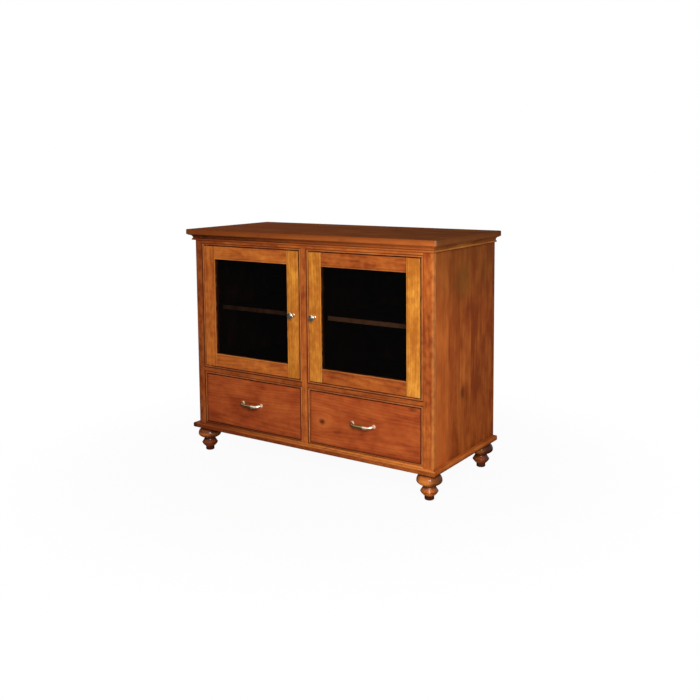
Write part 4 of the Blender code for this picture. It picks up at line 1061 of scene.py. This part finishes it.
# Each board's stain, grain directions, tone and, for a glued-up panel, the width of its boards
BOARDS = {
    "side_panel_left": ("russet", "zyx", 0.45, 0.092),
    "side_panel_right": ("russet", "zyx", 0.45, 0.092),
    "back_panel": ("umber", "zxy", 0.42, 0.30),
    "bottom_panel": ("shadow", "xyz", 0.5, 0.12),
    "deck_panel": ("shadow", "xyz", 0.5, 0.12),
    "partition": ("shadow", "zyx", 0.5, 0.12),
    "stile_left": ("umber", "zxy", 0.5, 0),
    "stile_right": ("russet", "zxy", 0.52, 0),
    "mullion": ("russet", "zxy", 0.54, 0),
    "top_rail": ("russet", "xzy", 0.5, 0),
    "bottom_rail": ("russet", "xzy", 0.5, 0),
    "door_left_hinge_stile": ("amber", "zxy", 0.5, 0),
    "door_left_knob_stile": ("honey", "zxy", 0.38, 0),
    "door_left_top_rail": ("amber", "xzy", 0.5, 0),
    "door_left_bottom_rail": ("amber", "xzy", 0.40, 0),
    "door_right_hinge_stile": ("honey", "zxy", 0.40, 0),
    "door_right_knob_stile": ("honey", "zxy", 0.40, 0),
    "door_right_top_rail": ("russet", "xzy", 0.34, 0),
    "door_right_bottom_rail": ("russet", "xzy", 0.45, 0),
}
for side_name, side_sign in SIDES:
    BOARDS[f"middle_rail_{side_name}"] = ("umber", "xzy", 0.47 + 0.07 * side_sign, 0)
    BOARDS[f"shelf_{side_name}"] = ("shadow", "xyz", 0.5, 0.12)
    BOARDS[f"door_{side_name}_glass_stop"] = ("umber", "xzy", 0.5, 0)
    BOARDS[f"drawer_{side_name}_front"] = ("chestnut", "xzy", 0.52, 0)
    BOARDS[f"drawer_{side_name}_box"] = ("maple", "yzx", 0.5, 0)
    BOARDS[f"drawer_{side_name}_bottom"] = ("maple", "xyz", 0.5, 0.15)
    for runner in ("inner", "outer"):
        BOARDS[f"runner_{side_name}_{runner}"] = ("maple", "yzx", 0.5, 0)
BOARD_SEED = 100
MATT_COAT = 0.03

# By board: a knot, smudges, and how the tone fades
KNOTS = {"drawer_right_front": (0.082, 0.226, 0.010)}
SMUDGES = {
    "drawer_right_front": [(0.487, 0.334, 0.026, 0.013, SHADE_AND_SMUDGE_COLOUR, 0.5)],
    "side_panel_right": [
        (0.78, -0.01, 0.10, 0.085, SIDE_TOP_COLOUR, 0.45),
        (0.36, -0.008, 0.035, 0.026, SHADE_AND_SMUDGE_COLOUR, 0.6),
    ],
}
FADES = {
    # Painted light: the rails' fades lighten them to the right, towards the key lamp
    "top_rail": {"x": 0.32},
    "bottom_rail": {"x": 0.9},
    "drawer_left_front": {"x": 0.15},
    "drawer_right_front": {"x": -0.12},
    "door_right_hinge_stile": {"z": -0.2},
    "side_panel_left": {"y": -0.25},
    "side_panel_right": {"y": -0.25},
}


def board_kind(node, stain, axes):
    """How a board's grain and lacquer show: plain insides, drawer fronts, wide panels, frames and doors."""
    if stain in ("shadow", "maple"):
        return {"coat": MATT_COAT, "redness": 0.03}
    if node in DRAWER_FRONTS:
        return {"figure": 0.65, "ripples": (36, 36, 20), "streaks": 0.5, "redness": 0.4}
    if "_panel" in node:
        return {"coat": MATT_COAT, "figure": 0.8, "ripples": (16, 16, 9), "streaks": 0.8}
    upright = axes[0] == "z"
    return {"figure": 0.95 if upright else 0.7, "ripples": (55, 55, 38), "streaks": 0.55}


def dress(node, material):
    """Gives a CAD node one material."""
    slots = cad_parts[node].data.materials
    slots.clear()
    slots.append(material)


def dress_boards():
    """Gives each board its finish, with a seed of its own."""
    marks = door_marks() | carcass_marks() | frame_marks() | drawer_marks()
    for number, (node, (stain, axes, tone, width)) in enumerate(BOARDS.items()):
        low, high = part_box(node)
        look = {"tone": tone, "board": width, "knot": KNOTS.get(node), **board_kind(node, stain, axes)}
        look.update({"marks": marks.get(node, ()), "fades": FADES.get(node, {})})
        look["smudges"] = SMUDGES.get(node, ())
        dress(node, wood(node + "_finish", stain, axes, low, high, BOARD_SEED + number, **look))


BRASS_COLOUR = (0.60, 0.42, 0.16)
BRASS_WORN_COLOUR = (0.36, 0.24, 0.09)


def dress_hinges_and_panes():
    """Brass for every hinge leaf, and smoked glass for both doors."""
    brass = plated("brass_finish", BRASS_COLOUR, BRASS_WORN_COLOUR, 1.0)
    pane = smoked_glass()
    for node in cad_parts:
        if node.startswith("hinge_"):
            dress(node, brass)
        elif node.endswith("_glass"):
            dress(node, pane)


# Stage: floor, light and camera


FLOOR_REACH = 15.0
FLOOR_GREY = (0.66, 0.66, 0.66)
SHADOW_SHARE = 0.05
SHADOW_FADE = (0.7, 1.5)
FLOOR_DIM = 0.04
WORLD_DIM = 0.03
WORLD_LIGHT = 0.17


def ray_kinds(nodes):
    """1 for each kind of ray that shows the background: the camera's, off gloss and through glass."""
    kinds = ("Camera", "Glossy", "Transmission")
    return [nodes.add("LightPath", {}, {}, "Is " + kind + " Ray") for kind in kinds]


def make_floor():
    """White, with a soft shadow round the cabinet. In gloss it is bright behind and on the right only."""
    mesh = bpy.data.meshes.new("floor")
    corners = [(x * FLOOR_REACH, y * FLOOR_REACH, 0) for x, y in ((-1, -1), (1, -1), (1, 1), (-1, 1))]
    mesh.from_pydata(corners, [], [(0, 1, 2, 3)])
    floor = bpy.data.objects.new("floor", mesh)
    bpy.context.scene.collection.objects.link(floor)
    finish = Finish("pale_floor")
    camera, glossy, through = ray_kinds(finish)
    x, y, _ = finish.place()
    far = (x * x + y * y).root().rise(*SHADOW_FADE)
    seen = camera.most(through)
    bright = y.rise(0.3, 2.0).most(x.rise(0.6, 1.6) * 0.7)
    shine = seen.most(FLOOR_DIM + bright * (1 - FLOOR_DIM))
    glow = finish.add("Emission", {}, {"Color": finish.vector(shine, shine, shine), "Strength": 1.0})
    matt = finish.add("BsdfDiffuse", {}, {"Color": FLOOR_GREY})
    share = (seen * (1 - SHADOW_SHARE + far * SHADOW_SHARE)).most(glossy)
    mixed = finish.add("MixShader", {}, {0: share, 1: matt, 2: glow})
    output = finish.tree.nodes["Material Output"]
    finish.tree.links.new(mixed.socket, output.inputs["Surface"])
    mesh.materials.append(finish.material)


def make_world():
    """White where it is seen, and in gloss too, but for a dim stretch on the front left. As light, a grey."""
    world = bpy.data.worlds.new("studio")
    world.use_nodes = True
    bpy.context.scene.world = world
    nodes = Nodes(world.node_tree)
    camera, glossy, through = ray_kinds(nodes)
    spot = nodes.add("TexCoord", {}, {}, "Generated")
    right, behind, above = (nodes.add("SeparateXYZ", {}, {0: spot}, number) for number in range(3))
    bright = behind.rise(-0.10, 0.60).most(above.rise(0.25, 0.55)).most(right.rise(-0.48, -0.34))
    in_gloss = glossy * (WORLD_DIM + bright * (1 - WORLD_DIM))
    seen = camera.most(through)
    lit = 1 - seen.most(glossy)
    shine = seen.most(in_gloss).most(lit * WORLD_LIGHT)
    background = world.node_tree.nodes["Background"]
    background.inputs["Strength"].default_value = 1.0
    nodes.feed(background.inputs["Color"], nodes.vector(shine, shine, shine))


def add_lamp(name, place, target, size, power):
    """A rectangular lamp at a place, turned to a target."""
    lamp = bpy.data.lights.new(name, "AREA")
    lamp.shape = "RECTANGLE"
    lamp.size, lamp.size_y = size
    lamp.energy = power
    holder = bpy.data.objects.new(name, lamp)
    bpy.context.scene.collection.objects.link(holder)
    holder.location = place
    aim = np.array(target) - np.array(place)
    flat = math.hypot(aim[0], aim[1])
    holder.rotation_euler = (math.pi / 2 + math.atan2(aim[2], flat), 0, math.atan2(-aim[0], aim[1]))


def make_lamps():
    """A key in front on the right, and a weak fill behind on the left."""
    add_lamp("key", place=(2.0, -2.6, 1.75), target=(0.0, 0.0, 0.5), size=(1.2, 1.4), power=122)
    add_lamp("fill", place=(-1.8, 1.2, 2.2), target=(0.0, 0.1, 0.9), size=(1.0, 1.0), power=20)


PHOTO_SIZE = 700
FOCAL_PIXELS = 895.2
PRINCIPAL_ROW = 256
CAMERA_PLACE = (2.0820, -2.9928, 1.2225)
CAMERA_ANGLES = (84.135, 0.461, 34.041)


def make_camera():
    """The fitted camera: 34 degrees round to the cabinet's right, 6 degrees down, rolled by half a degree."""
    camera = bpy.data.cameras.new("camera")
    camera.sensor_width = 36.0
    camera.lens = FOCAL_PIXELS / PHOTO_SIZE * camera.sensor_width
    camera.shift_y = (PRINCIPAL_ROW - PHOTO_SIZE / 2) / PHOTO_SIZE
    holder = bpy.data.objects.new("camera", camera)
    bpy.context.scene.collection.objects.link(holder)
    holder.location = CAMERA_PLACE
    holder.rotation_euler = [math.radians(angle) for angle in CAMERA_ANGLES]
    bpy.context.scene.camera = holder


bpy.context.scene.view_settings.view_transform = "Standard"
make_camera()
make_world()
make_lamps()
make_floor()

top_board()
moulding("crown", crown_section(), crown_marks(), "umber", "tawny", CROWN_SEED)
moulding("base", base_section(), base_marks(), "russet", "russet", BASE_SEED)
feet()
knobs()
pulls()
dress_boards()
dress_hinges_and_panes()
